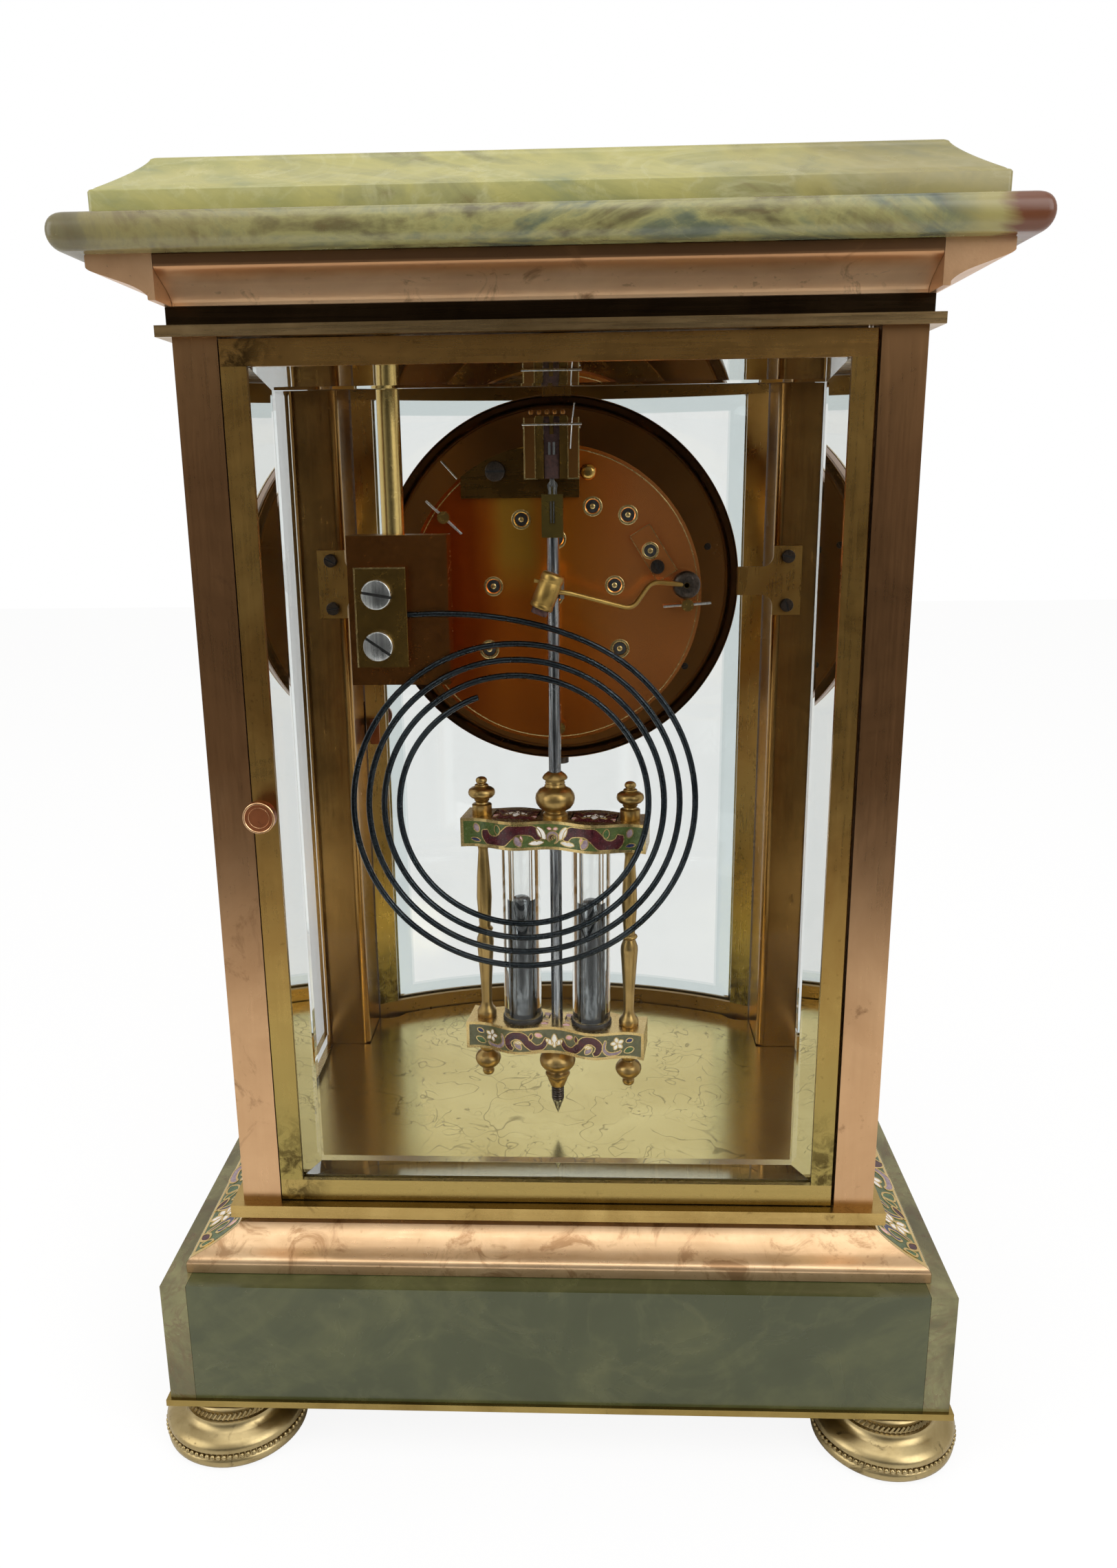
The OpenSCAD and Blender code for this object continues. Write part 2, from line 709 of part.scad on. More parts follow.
module side_glasses() {
    d0 = rear_post_d - groove_d + pane_fit;
    length = front_post_back + groove_d - pane_fit - d0;
    color(glass)
    for (s = [0, 1]) mirror([s, 0, 0])
        translate([glass_x, y_at(d0), z_floor + pane_fit])
            rotate([90, 0, 90]) translate([-length, 0, 0]) pane(length, post_h - 2 * pane_fit,
                side_glass_t);
}

// What is cut from a door's edge so that it turns clear of the post; s is the outward side along Y
module hinge_relief(p, s)
    difference() {
        translate([p.x - hinge_r - over, p.y + (s > 0 ? 0 : -hinge_r - 2 * over), z_floor])
            cube([hinge_r + over, hinge_r + 2 * over, post_h]);
        translate([p.x, p.y, z_floor - over]) cylinder(r = hinge_r, h = post_h + 2 * over);
    }

// Rear door
pane_at = (door_t - pane_t) / 2;
module pane_groove(x, z)
    depth_box(x, [pane_at - pane_fit, pane_at + pane_t + pane_fit], z);

rear_pane_x = rear_door_half - door_frame_w + pane_in;
pane_z = [door_z0 + door_frame_w - pane_in, door_z1 - door_frame_w + pane_in];
module rear_door_stiles()
    color(brass)
    difference() {
        for (s = [0, 1]) mirror([s, 0, 0])
            difference() {
                depth_box([rear_door_half - door_frame_w, rear_door_half], [0, door_t],
                    [door_z0 + door_frame_w, door_z1 - door_frame_w]);
                pane_groove([rear_pane_x - door_frame_w, rear_pane_x + pane_fit], [z_floor, z_top]);
            }
        hinge_relief(rear_hinge, 1);
        bar_y([rear_knob_x, z_knob - z_dial], -over, door_t + over, knob_shaft_r + run_fit);
    }

module rear_door_rails()
    color(brass)
    difference() {
        for (z = [door_z0, door_z1 - door_frame_w])
            depth_box([-rear_door_half, rear_door_half], [0, door_t], [z, z + door_frame_w]);
        pane_groove([-rear_pane_x - pane_fit, rear_pane_x + pane_fit], [pane_z[0] - pane_fit,
            pane_z[1] + pane_fit]);
        hinge_relief(rear_hinge, 1);
        door_pin_bores(door_z0 - over, door_z0 + hinge_pin_in + clear, run_fit);
        door_pin_bores(door_z1 - hinge_pin_in - clear, door_z1 + over, run_fit);
    }

module rear_door_glass()
    color(glass)
    translate([rear_pane_x, y_at(pane_at + pane_t), pane_z[0]])
        rotate([90, 0, 180]) pane(2 * rear_pane_x, pane_z[1] - pane_z[0], pane_t);

// A turn knob on the outside of a door, with its latch tongue on the inside hanging straight down
module knob(x, out_at, tongue_at, out) {
    p = [x, z_knob - z_dial];
    module span(a, b, r) bar_y(p, min(a, b), max(a, b), r);
    span(out_at + out * 4.6, out_at + out * 7.2, knob_r);
    span(out_at + out * 3.8, out_at + out * 4.8, knob_r * 0.8);
    span(out_at + out * clear, out_at + out * 4, knob_r * 0.45);
    span(out_at + out * over, out < 0 ? tongue_at + latch_t : tongue_at, knob_shaft_r);
    depth_box([x - latch_w / 2, x + latch_w / 2], [tongue_at, tongue_at + latch_t],
        [z_knob - latch_reach, z_knob + latch_w / 2]);
}

module rear_door_knob() color(copper) knob(rear_knob_x, 0, rear_latch_at, -1);

// Front door, bowed
module front_ring(z0, z1)
    difference() {
        translate([0, bow_cy, z0]) cylinder(r = bow_r, h = z1 - z0, $fn = 180);
        translate([0, bow_cy, z0 - over]) cylinder(r = front_r_in, h = z1 - z0 + 2 * over, $fn = 180);
    }

front_pane_r = bow_r - door_t / 2 - pane_t / 2;
front_pane_x = front_door_half - door_frame_w + pane_in;
module bowed_pane(x, z, fit)
    intersection() {
        difference() {
            translate([0, bow_cy, z[0]])
                cylinder(r = front_pane_r + pane_t + fit, h = z[1] - z[0], $fn = 180);
            translate([0, bow_cy, z[0] - over])
                cylinder(r = front_pane_r - fit, h = z[1] - z[0] + 2 * over, $fn = 180);
        }
        depth_box([-x, x], [case_d / 2, case_d + over], [z[0] - over, z[1] + over]);
    }

module front_door_stiles()
    color(brass)
    difference() {
        for (s = [0, 1]) mirror([s, 0, 0])
            intersection() {
                front_ring(door_z0 + door_frame_w, door_z1 - door_frame_w);
                depth_box([front_door_half - door_frame_w, front_door_half], [case_d / 2, case_d],
                    [z_floor, z_top]);
            }
        bowed_pane(front_pane_x + pane_fit, [z_floor, z_top], pane_fit);
        hinge_relief(front_hinge, -1);
        bar_y([front_knob_x, z_knob - z_dial], case_d / 2, case_d + over, knob_shaft_r + run_fit);
    }

module front_door_rails()
    color(brass)
    difference() {
        intersection() {
            union() for (z = [door_z0, door_z1 - door_frame_w]) front_ring(z, z + door_frame_w);
            depth_box([-front_door_half, front_door_half], [case_d / 2, case_d + over], [z_floor, z_top]);
        }
        bowed_pane(front_pane_x + pane_fit, [pane_z[0] - pane_fit, pane_z[1] + pane_fit], pane_fit);
        hinge_relief(front_hinge, -1);
        door_pin_bores(door_z0 - over, door_z0 + hinge_pin_in + clear, run_fit);
        door_pin_bores(door_z1 - hinge_pin_in - clear, door_z1 + over, run_fit);
    }

module front_door_glass() color(glass) bowed_pane(front_pane_x, pane_z, 0);
module front_door_knob()
    color(copper) knob(front_knob_x, depth_of(front_y(front_knob_x - knob_r, bow_r)), front_latch_at, 1);

module door_pins()
    color(steel) {
        door_pin_bores(z_floor - hinge_pin_in, door_z0 + hinge_pin_in, 0);
        door_pin_bores(door_z1 - hinge_pin_in, z_top + hinge_pin_in, 0);
    }

// Top
core_in = neck_in + pane_fit;
module case_top_frame()
    color(dark_brass)
    difference() {
        union() {
            bow_plate(lip_over, lip_over, lip_over, z_top, z_frieze);
            bow_plate(frieze_over, frieze_over, frieze_over, z_frieze - over, z_cornice);
            bow_plate(-core_in, -core_in, -core_in - setback - clear, z_cornice - over, z_slab);
        }
        post_bores(z_top - over, z_cornice + over, screw_r + run_fit);
        post_bores(z_cornice - screw_head_h, z_slab + over, screw_head_r + run_fit);
        door_pin_bores(z_top - over, z_top + hinge_pin_in, seat_fit);
        translate([0, y_at(strap_screw_at), z_top - over])
            cylinder(r = bracket_screw_r + seat_fit, h = over + 6);
        for (s = [-1, 1])
            translate([s * top_nut_x, y_at(top_nut_at), z_top - over])
                cylinder(r = screw_r + seat_fit, h = over + 5);
    }

module cornice() color(copper) side_moulding(cornice_profile, false);
module cornice_rear() color(copper) rear_moulding(cornice_profile, false);
module top_slab() color(onyx) tier(slab_profile);
module top_cap() color(onyx) tier(cap_profile);

// Fasteners, all of steel
module case_screws()
    color(steel) {
        post_bores(z_neck, z_neck + screw_head_h - seat_fit, screw_head_r);
        post_bores(z_neck, z_floor + screw_in - clear, screw_r);
        post_bores(z_cornice - screw_head_h + seat_fit, z_cornice, screw_head_r);
        post_bores(z_top - screw_in + clear, z_cornice, screw_r);
        for (s = [-1, 1]) for (dz = [-1, 1])
            screw_y([s * bracket_x, dz * bracket_screw_dz], bracket_at, 8 + bracket_t - clear,
                bracket_screw_r, bracket_screw_head_r, 1.6);
        for (z = gong_screw_z)
            screw_y([gong_screw_x, z - z_dial], clamp_at, clamp_t + 6, screw_r, 4.3, 2.4);
        screw_y(cock_screw_p, cock_at, cock_t + plate_t, screw_r, 3, 1.8);
        screw_y(pin_cock_screw_p, back_plate_at - pin_cock_t, pin_cock_t + plate_t, bracket_screw_r,
            2.1, 1.2);
        translate([0, y_at(strap_screw_at), z_top - bracket_t - 1.6])
            cylinder(r = bracket_screw_head_r, h = 1.6);
        translate([0, y_at(strap_screw_at), z_top - bracket_t - 1])
            cylinder(r = bracket_screw_r, h = bracket_t + 6);
        translate([0, y_at(ring_screw_at), z_dial - ring_r - 3]) cylinder(r = 3.4, h = 2.9);
        translate([0, y_at(ring_screw_at), z_dial - ring_r - 1]) cylinder(r = screw_r, h = ring_wall);
        for (s = [-1, 1]) {
            for (d = bolt_depths)
                translate([s * bolt_x, y_at(d), z_plate]) {
                    translate([0, 0, -bolt_head_h]) cylinder(r = bolt_head_r, h = bolt_head_h);
                    cylinder(r = bolt_r, h = z_lip - clear - z_plate);
                }
            translate([s * top_nut_x, y_at(top_nut_at), z_top - top_nut_h])
                cylinder(r = top_nut_r, h = top_nut_h);
            translate([s * top_nut_x, y_at(top_nut_at), z_top - over])
                cylinder(r = screw_r, h = over + 4.5);
        }
    }

// Movement carrier
bracket_at = front_post_back - bracket_t;
bracket_in = ring_r - 2;
bracket_flare = 4;
strap_half = 5;
strap_screw_at = bracket_at - 4;
ring_screw_at = front_post_back + ring_d / 2;
winding_hole_r = winding_r + 1;
module movement_ring()
    color(dark_brass)
    difference() {
        bar_y(centre_p, front_post_back, dial_at, ring_r);
        bar_y(centre_p, front_post_back + ring_back_t, dial_at + over, ring_r - ring_wall);
        bar_y(centre_p, front_post_back - over, dial_at, pipe_r + 3);
        for (p = [going_p, strike_p]) bar_y(p, front_post_back - over, dial_at, winding_hole_r);
        translate([0, y_at(ring_screw_at), z_dial - ring_r - over])
            cylinder(r = screw_r + seat_fit, h = ring_wall + 2 * over);
    }

module ring_brackets()
    color(brass) {
        for (s = [0, 1]) mirror([s, 0, 0])
            difference() {
                flat_y(centre_p, bracket_at, front_post_back)
                    offset(r = -bracket_flare) offset(delta = bracket_flare) {
                        translate([bracket_x - 5, -bracket_half_h]) square([10, 2 * bracket_half_h]);
                        translate([bracket_in, -5]) square([bracket_x - bracket_in, 10]);
                    }
                for (dz = [-1, 1])
                    bar_y([bracket_x, dz * bracket_screw_dz], bracket_at - over, front_post_back + over,
                        bracket_screw_r + run_fit);
            }
        difference() {
            union() {
                depth_box([-strap_half, strap_half], [bracket_at, front_post_back],
                    [z_dial + bracket_in, z_top]);
                depth_box([-strap_half, strap_half], [strap_screw_at - 4, bracket_at + over],
                    [z_top - bracket_t, z_top]);
            }
            translate([0, y_at(strap_screw_at), z_top - bracket_t - over])
                cylinder(r = bracket_screw_r + run_fit, h = bracket_t + 2 * over);
        }
    }

// Plates and pillars
function polar(a, r) = [r * cos(a), r * sin(a)];
pillar_places = [for (a = pillar_angles) polar(a, pillar_ring)];
pivot_places = [intermediate_p, third_p, escape_p, second_p, strike_third_p, fly_p, centre_p];
cock_t = 3;
cock_at = back_plate_at - cock_t;
cock_screw_p = [17.7, 38.6];
pin_cock_t = 1.6;
pin_cock_p = [-31.4, 13.2];
pin_cock_turn = 58;
pin_cock_screw_p = [-32.6, 9];
anchor_hole_r = 2;
module plate_bores(d0, d1) {
    for (p = pillar_places) bar_y(p, d0, d1, tenon_r + seat_fit);
    for (p = concat(pivot_places, [pin_p])) bar_y(p, d0, d1, pivot_r + run_fit);
    for (p = [going_p, strike_p]) bar_y(p, d0, d1, winding_r + run_fit);
    bar_y(hammer_p, d0, d1, arbor_r + run_fit);
}

module back_plate()
    color(copper)
    difference() {
        union() {
            bar_y(centre_p, back_plate_at, back_plate_at + plate_t, plate_r);
            flat_y(pin_cock_p, back_plate_at - pin_cock_t, back_plate_at + plate_t / 2)
                rotate(pin_cock_turn) square([17, 7.4], center = true);
            bar_y([-10.9, 38.2], back_plate_at - 1.6, back_plate_at + plate_t / 2, 2.2);
        }
        plate_bores(back_plate_at - 2 * over, back_plate_at + plate_t + over);
        bar_y(anchor_p, back_plate_at - over, back_plate_at + plate_t + over, anchor_hole_r);
        bar_y(cock_screw_p, back_plate_at - over, back_plate_at + plate_t + over, screw_r + seat_fit);
        bar_y(pin_cock_screw_p, back_plate_at - 2 * over, back_plate_at + plate_t + over,
            bracket_screw_r + seat_fit);
        for (p = pivot_places) sink(p, back_plate_at);
        sink(pin_p, back_plate_at - pin_cock_t);
    }

// The oil sink round a pivot hole
module sink(p, face)
    translate([p.x, y_at(face - 0.01), z_dial + p.y]) rotate([90, 0, 0])
        cylinder(r1 = sink_r, r2 = pivot_r + 0.4, h = 1);

module front_plate()
    color(brass)
    difference() {
        union() {
            bar_y(centre_p, front_plate_at, front_face_at, plate_r);
            for (a = dial_pillar_angles)
                bar_y(polar(a, plate_r - 3), front_face_at - over, front_post_back, 2);
            bar_y(minute_p, front_face_at - over, hour_wheel_at + motion_t + 0.6, 1);
        }
        plate_bores(front_plate_at - over, front_face_at + over);
        bar_y(anchor_p, front_plate_at - over, front_face_at + over, pivot_r + run_fit);
        bar_y(centre_p, front_plate_at - over, front_face_at + over, arbor_r + run_fit);
    }

module plate_pillars()
    color(brass)
    for (i = [0 : len(pillar_places) - 1])
        difference() {
            p = pillar_places[i];
            union() {
                bar_y(p, w_inner, front_plate_at, pillar_r);
                bar_y(p, back_plate_at - tenon_out, front_face_at + 0.6, tenon_r);
            }
            taper_pin(i, taper_pin_r + seat_fit, tenon_r * 3);
        }

module taper_pin(i, r, length)
    translate([pillar_places[i].x, y_at(back_plate_at - tenon_out / 2), z_dial + pillar_places[i].y])
        rotate([0, taper_turns[i], 0]) cylinder(r = r, h = length, center = true);

module taper_pins() color(steel) for (i = [0 : len(pillar_places) - 1])
    taper_pin(i, taper_pin_r, taper_pin_len);

// Dial and hands
module dial()
    color("ivory")
    difference() {
        bar_y(centre_p, dial_at, dial_at + dial_t, ring_r - 1);
        bar_y(centre_p, dial_at - over, dial_at + dial_t + over, pipe_r + 0.6);
        for (p = [going_p, strike_p]) bar_y(p, dial_at - over, dial_at + dial_t + over, winding_hole_r);
    }

module bezel()
    color(copper)
    translate([0, y_at(dial_at + dial_t), z_dial]) rotate([90, 0, 0])
        rotate_extrude($fn = 96)
            polygon([[bezel_in_r, 0], [ring_r, 0], [ring_r, bezel_h * 0.5], [ring_r - 2, bezel_h],
                [ring_r - 4, bezel_h * 0.8], [bezel_in_r + 2, bezel_h * 0.4], [bezel_in_r, bezel_h * 0.2]]);

// Teeth: straight flanks, tips and roots as shares of the pitch, one tooth at angle a
function gear_outline(z, m, a, tip, root, add, ded) =
    let (r = m * z / 2, p = 360 / z)
    [for (i = [0 : z - 1]) let (c = a + i * p) each [
        polar(c - root * p, r - ded * m), polar(c - tip * p, r + add * m),
        polar(c + tip * p, r + add * m), polar(c + root * p, r - ded * m)]];
function wheel_outline(z, m, a) = gear_outline(z, m, a, 0.1, 0.2, 0.75, 1.1);
function pinion_outline(z, m, a) = gear_outline(z, m, a, 0.1, 0.17, 0.6, 1.05);
function angle_to(a, b) = atan2(b.y - a.y, b.x - a.x);
function module_of(a, za, b, zb) = 2 * norm(b - a) / (za + zb);

// A wheel at a with a tooth on the line to b, and a pinion at b with a space on it
module wheel(a, za, b, zb, w)
    flat_y(a, w_inner + w[0], w_inner + w[1])
        polygon(wheel_outline(za, module_of(a, za, b, zb), angle_to(a, b)));
module pinion(a, za, b, zb, w)
    flat_y(b, w_inner + w[0] - mesh_over, w_inner + w[1] + mesh_over)
        polygon(pinion_outline(zb, module_of(a, za, b, zb), angle_to(b, a) + 180 / zb));

// An arbor between the plates with a pivot at each end
module arbor(p, r) {
    bar_y(p, w_inner + end_shake, front_plate_at - end_shake, r);
    bar_y(p, back_plate_at + 0.6, front_face_at - 0.2, pivot_r);
}

module barrel(p, next) {
    wheel(p, great_z, next, great_pinion_z, w_great);
    bar_y(p, w_inner + w_great[1] - 0.1, front_plate_at - 2, drum_r);
    bar_y(p, w_inner + end_shake, front_plate_at - end_shake, winding_r + 0.5);
    bar_y(p, back_plate_at + 0.4, front_face_at + 2, winding_r);
    flat_y(p, front_face_at + 1, dial_at + dial_t - 0.4) square(winding_r * 1.4, center = true);
}

module going_barrel() color(brass) barrel(going_p, intermediate_p);
module intermediate_wheel()
    color(brass) {
        arbor(intermediate_p, arbor_r);
        pinion(going_p, great_z, intermediate_p, great_pinion_z, w_great);
        wheel(intermediate_p, intermediate_z, centre_p, centre_pinion_z, w_intermediate);
    }
module centre_wheel()
    color(brass) {
        bar_y(centre_p, w_inner + end_shake, front_plate_at - end_shake, arbor_r + 0.4);
        bar_y(centre_p, back_plate_at + 0.6, w_inner + over, pivot_r);
        bar_y(centre_p, front_plate_at - over, minute_hand_at + hand_t + 1.4, arbor_r);
        pinion(intermediate_p, intermediate_z, centre_p, centre_pinion_z, w_intermediate);
        wheel(centre_p, centre_z, third_p, third_pinion_z, w_centre);
    }
module third_wheel()
    color(brass) {
        arbor(third_p, fine_arbor_r);
        pinion(centre_p, centre_z, third_p, third_pinion_z, w_centre);
        wheel(third_p, third_z, escape_p, escape_pinion_z, w_third);
    }
escape_m = 2 * escape_r / (escape_z + 1.5);
module escape_wheel()
    color(brass) {
        arbor(escape_p, fine_arbor_r);
        pinion(third_p, third_z, escape_p, escape_pinion_z, w_third);
        flat_y(escape_p, w_inner + w_escape[0], w_inner + w_escape[1])
            polygon(gear_outline(escape_z, escape_m, 0, 0.04, 0.2, 0.75, 2));
    }

// The pallets stand clear outside the escape wheel, on the arbor of the crutch
anchor_span = acos(escape_r / norm(anchor_p - escape_p));
pallet_clear = 1.2;
crutch_at = pend_at + 2.4;
crutch_t = 1.2;
fork_z = [z_dial, z_dial + 6];
fork_gap = 0.25;
module crutch()
    color(brass) {
        bar_y(anchor_p, crutch_at - 0.8, front_plate_at - end_shake, arbor_r);
        bar_y(anchor_p, front_plate_at - over, front_face_at - 0.2, pivot_r);
        line = angle_to(escape_p, anchor_p);
        flat_y([0, 0], w_inner + w_escape[0], w_inner + w_escape[1]) {
            translate(anchor_p) circle(r = 1.8);
            for (s = [-1, 1]) {
                p = escape_p + polar(line + s * anchor_span, escape_r + pallet_clear + 0.9);
                v = p - anchor_p;
                translate(anchor_p) rotate(atan2(v.y, v.x)) translate([0, -0.8]) square([norm(v), 1.6]);
                translate(p) circle(r = 0.9);
            }
        }
        bar_y(anchor_p, crutch_at - 0.8, crutch_at + 2, 1.6);
        depth_box([-1.4, 1.4], [crutch_at, crutch_at + crutch_t], [fork_z[0], z_pend]);
        prong = rod_r + fork_gap;
        depth_box([-prong - 1.2, prong + 1.2], [crutch_at, crutch_at + crutch_t], fork_z);
        for (s = [0, 1]) mirror([s, 0, 0])
            depth_box([prong, prong + 1.2], [pend_at - rod_r - 0.6, crutch_at + crutch_t], fork_z);
    }

// Motion work in front of the front plate
module minute_hand()
    color("black") {
        difference() {
            union() {
                flat_y(centre_p, cannon_at, cannon_at + motion_t)
                    polygon(pinion_outline(cannon_z, module_of(centre_p, cannon_z, minute_p, minute_z),
                        angle_to(centre_p, minute_p) + 180 / cannon_z));
                bar_y(centre_p, cannon_at, minute_hand_at + hand_t, cannon_r);
                hand(minute_hand_at, minute_len, 6 * rest_minutes, cannon_r + 1.6);
            }
            bar_y(centre_p, cannon_at - over, minute_hand_at + hand_t + over, arbor_r + run_fit);
        }
    }

module hour_hand()
    color("black")
    difference() {
        union() {
            flat_y(centre_p, hour_wheel_at, hour_wheel_at + motion_t)
                polygon(wheel_outline(hour_z, module_of(centre_p, hour_z, minute_p, minute_pinion_z),
                    angle_to(centre_p, minute_p)));
            bar_y(centre_p, hour_wheel_at, hour_hand_at + hand_t, pipe_r);
            hand(hour_hand_at, hour_len, 30 * rest_hour + rest_minutes / 2, pipe_r + 1.8);
        }
        bar_y(centre_p, hour_wheel_at - over, hour_hand_at + hand_t + over, cannon_r + run_fit);
    }

// A hand with a pierced round near its tip, turned clockwise from twelve
module hand(at, length, turn, boss_r)
    flat_y(centre_p, at, at + hand_t)
        rotate(-turn)
            difference() {
                union() {
                    circle(r = boss_r);
                    polygon([[-1.2, 0], [1.2, 0], [0.7, length * 0.62], [0, length], [-0.7,
                        length * 0.62]]);
                    translate([0, length * 0.66]) circle(r = 3.4);
                }
                translate([0, length * 0.66]) circle(r = 2.1);
            }

module minute_wheel()
    color(brass)
    difference() {
        union() {
            flat_y(minute_p, cannon_at, cannon_at + motion_t)
                polygon(wheel_outline(minute_z, module_of(centre_p, cannon_z, minute_p, minute_z),
                    angle_to(minute_p, centre_p)));
            flat_y(minute_p, cannon_at + over, hour_wheel_at + motion_t)
                polygon(pinion_outline(minute_pinion_z, module_of(centre_p, hour_z, minute_p,
                    minute_pinion_z),
                    angle_to(minute_p, centre_p) + 180 / minute_pinion_z));
        }
        bar_y(minute_p, cannon_at - over, hour_wheel_at + motion_t + over, 1 + run_fit);
    }

// Strike train
module strike_barrel() color(brass) barrel(strike_p, second_p);
module strike_second_wheel()
    color(brass) {
        arbor(second_p, arbor_r);
        pinion(strike_p, great_z, second_p, great_pinion_z, w_great);
        wheel(second_p, second_z, pin_p, pin_pinion_z, w_intermediate);
    }
lift_pins = 8;
lift_ring = 8.5;
module strike_pin_wheel()
    color(brass) {
        arbor(pin_p, fine_arbor_r);
        pinion(second_p, second_z, pin_p, pin_pinion_z, w_intermediate);
        wheel(pin_p, pin_z, strike_third_p, strike_third_pinion_z, w_third);
        for (i = [0 : lift_pins - 1])
            bar_y(pin_p + polar(360 * i / lift_pins, lift_ring), w_inner + w_third[0] + 0.4,
                w_inner + w_third[1] + 2.4, 0.5);
    }
module strike_third_wheel()
    color(brass) {
        arbor(strike_third_p, fine_arbor_r);
        pinion(pin_p, pin_z, strike_third_p, strike_third_pinion_z, w_third);
        wheel(strike_third_p, strike_third_z, fly_p, fly_pinion_z, w_strike_third);
    }
module fly()
    color(brass) {
        arbor(fly_p, fine_arbor_r);
        pinion(strike_third_p, strike_third_z, fly_p, fly_pinion_z, w_strike_third);
        flat_y(fly_p, w_inner + w_fly[0], w_inner + w_fly[1]) square([15, 0.6], center = true);
    }

// Hammer: its arbor passes the back plate, its bent wire carries the head out over the gong
hammer_tail = 5;
collet_r = 4.4;
collet_at = back_plate_at - tenon_out - 3.8;
head_c = [1.2, y_at(gong_at), z_dial + 3.8];
head_turn = -16;
module hammer() {
    place = function (x, depth, up) [x, y_at(depth), z_dial + up];
    route = [place(hammer_p.x, collet_at + 1.5, hammer_p.y), place(-30.2, pend_at - 4, 5.2),
        place(-24.1, pend_at - 12, -2.3), place(-4.5, gong_at, 3.4), head_c];
    color(brass) {
        bar_y(hammer_p, collet_at, front_plate_at - end_shake, arbor_r);
        bar_y(hammer_p, collet_at, collet_at + 3, collet_r);
        flat_y(hammer_p, w_inner + w_third[1] + 1.2, w_inner + w_third[1] + 2.2)
            rotate(angle_to(hammer_p, pin_p)) translate([0, -0.7]) square([hammer_tail, 1.4]);
        for (i = [0 : len(route) - 2]) {
            step = (route[i + 1] - route[i]) * hammer_wire_r / norm(route[i + 1] - route[i]) / 2;
            bar(route[i] - step, route[i + 1] + step, hammer_wire_r, $fn = 8);
        }
        translate(head_c) rotate([0, head_turn, 0]) {
            cylinder(r = hammer_head, h = hammer_len, center = true);
            translate([0, 0, -hammer_len / 2 - 0.9]) cube([5, 5, 2], center = true);
        }
    }
}

// Suspension
cheek_in = 4.6;
cheek_out = 8.2;
chops_z = [z_pend + 2, z_pend + 19.8];
susp_at = [pend_at - 5, cock_at];
susp_pin_z = chops_z[1] - 2.4;
susp_pin_r = 0.7;
module suspension_bracket()
    color(brass)
    difference() {
        union() {
            for (s = [0, 1]) mirror([s, 0, 0]) depth_box([cheek_in, cheek_out], susp_at, chops_z);
            depth_box([-cheek_out, cheek_out], [cock_at - 1.8, cock_at], chops_z);
            intersection() {
                depth_box([-cheek_out, 28.6], [cock_at, back_plate_at], [z_pend - 3.5, z_pend + 11.3]);
                bar_y(centre_p, cock_at - over, back_plate_at + over, plate_r);
            }
        }
        bar_y(anchor_p, cock_at - over, back_plate_at + over, arbor_r + run_fit);
        bar_y(cock_screw_p, cock_at - over, back_plate_at + over, screw_r + run_fit);
        translate([0, y_at(pend_at), susp_pin_z]) rotate([0, 90, 0])
            cylinder(r = susp_pin_r + seat_fit, h = 4 * cheek_out, center = true);
    }

spring_t = 0.3;
flex_gap = 0.3;
module suspension_spring()
    color(steel) {
        depth_box([-cheek_in + clear, cheek_in - clear], [pend_at - 2.6, pend_at + 2.6],
            [chops_z[1] - 6, chops_z[1]]);
        depth_box([-spring_t / 2, spring_t / 2], [pend_at - 2.4, pend_at + 1.2],
            [z_pend + flex_gap / 2, chops_z[1] - 5]);
        translate([0, y_at(pend_at), susp_pin_z]) rotate([0, 90, 0])
            cylinder(r = susp_pin_r, h = 2 * cheek_out + 1, center = true);
    }

// Pendulum
bob_top = z_pend - bob_top_down;
bob_low = z_pend - pend_len + bob_up;
vial_show = bob_top - bob_low - 2 * bob_plate_t;
hook_z = [z_pend - 15.3, z_pend - 2.4];
tip_h = 5;
module on_rod(z, turn = 0) translate([0, y_at(pend_at), z]) rotate(turn) children();

module pendulum_rod()
    color(steel) {
        depth_box([-spring_t / 2, spring_t / 2], [pend_at - 2.4, pend_at + 1.2], [hook_z[1] - over,
            z_pend - flex_gap / 2]);
        difference() {
            depth_box([-3.3, 3.3], [pend_at - 2.8, crutch_at - clear - 0.2], hook_z);
            depth_box([-0.9, 0.9], [pend_at - 4, pend_at - 0.6], [hook_z[0] + 4, hook_z[1] - 2]);
        }
        on_rod(z_pend - pend_len + tip_h)
            cylinder(r = rod_r, h = hook_z[0] + over - (z_pend - pend_len + tip_h));
        on_rod(z_pend - pend_len) cylinder(r1 = 0.1, r2 = rod_r, h = tip_h);
    }

bob_steps = 28;
bob_beat = 1.18;
bob_edge = [for (i = [0 : bob_steps]) let (t = -1 + 2 * i / bob_steps)
    [t * bob_half, bob_half_d - bob_wave * cos(360 * bob_beat * t)]];
module bob_plate_shape() polygon(concat(bob_edge, [for (p = mirror_list(bob_edge)) [p.x, -p.y]]));

module pendulum_plates()
    color(brass)
    on_rod(0, -bob_turn)
        difference() {
            for (z = [bob_low, bob_top - bob_plate_t]) translate([0, 0, z]) linear_extrude(bob_plate_t)
                bob_plate_shape();
            translate([0, 0, bob_low - over])
                cylinder(r = rod_r + run_fit, h = bob_top - bob_low + 2 * over);
            for (s = [-1, 1]) {
                translate([s * column_x, 0, bob_low - over])
                    cylinder(r = column_neck_r + seat_fit, h = bob_top - bob_low + 2 * over);
                translate([s * vial_x, 0, bob_low + bob_plate_t - vial_seat])
                    cylinder(r = vial_r + pane_fit, h = vial_show + 2 * vial_seat);
            }
        }

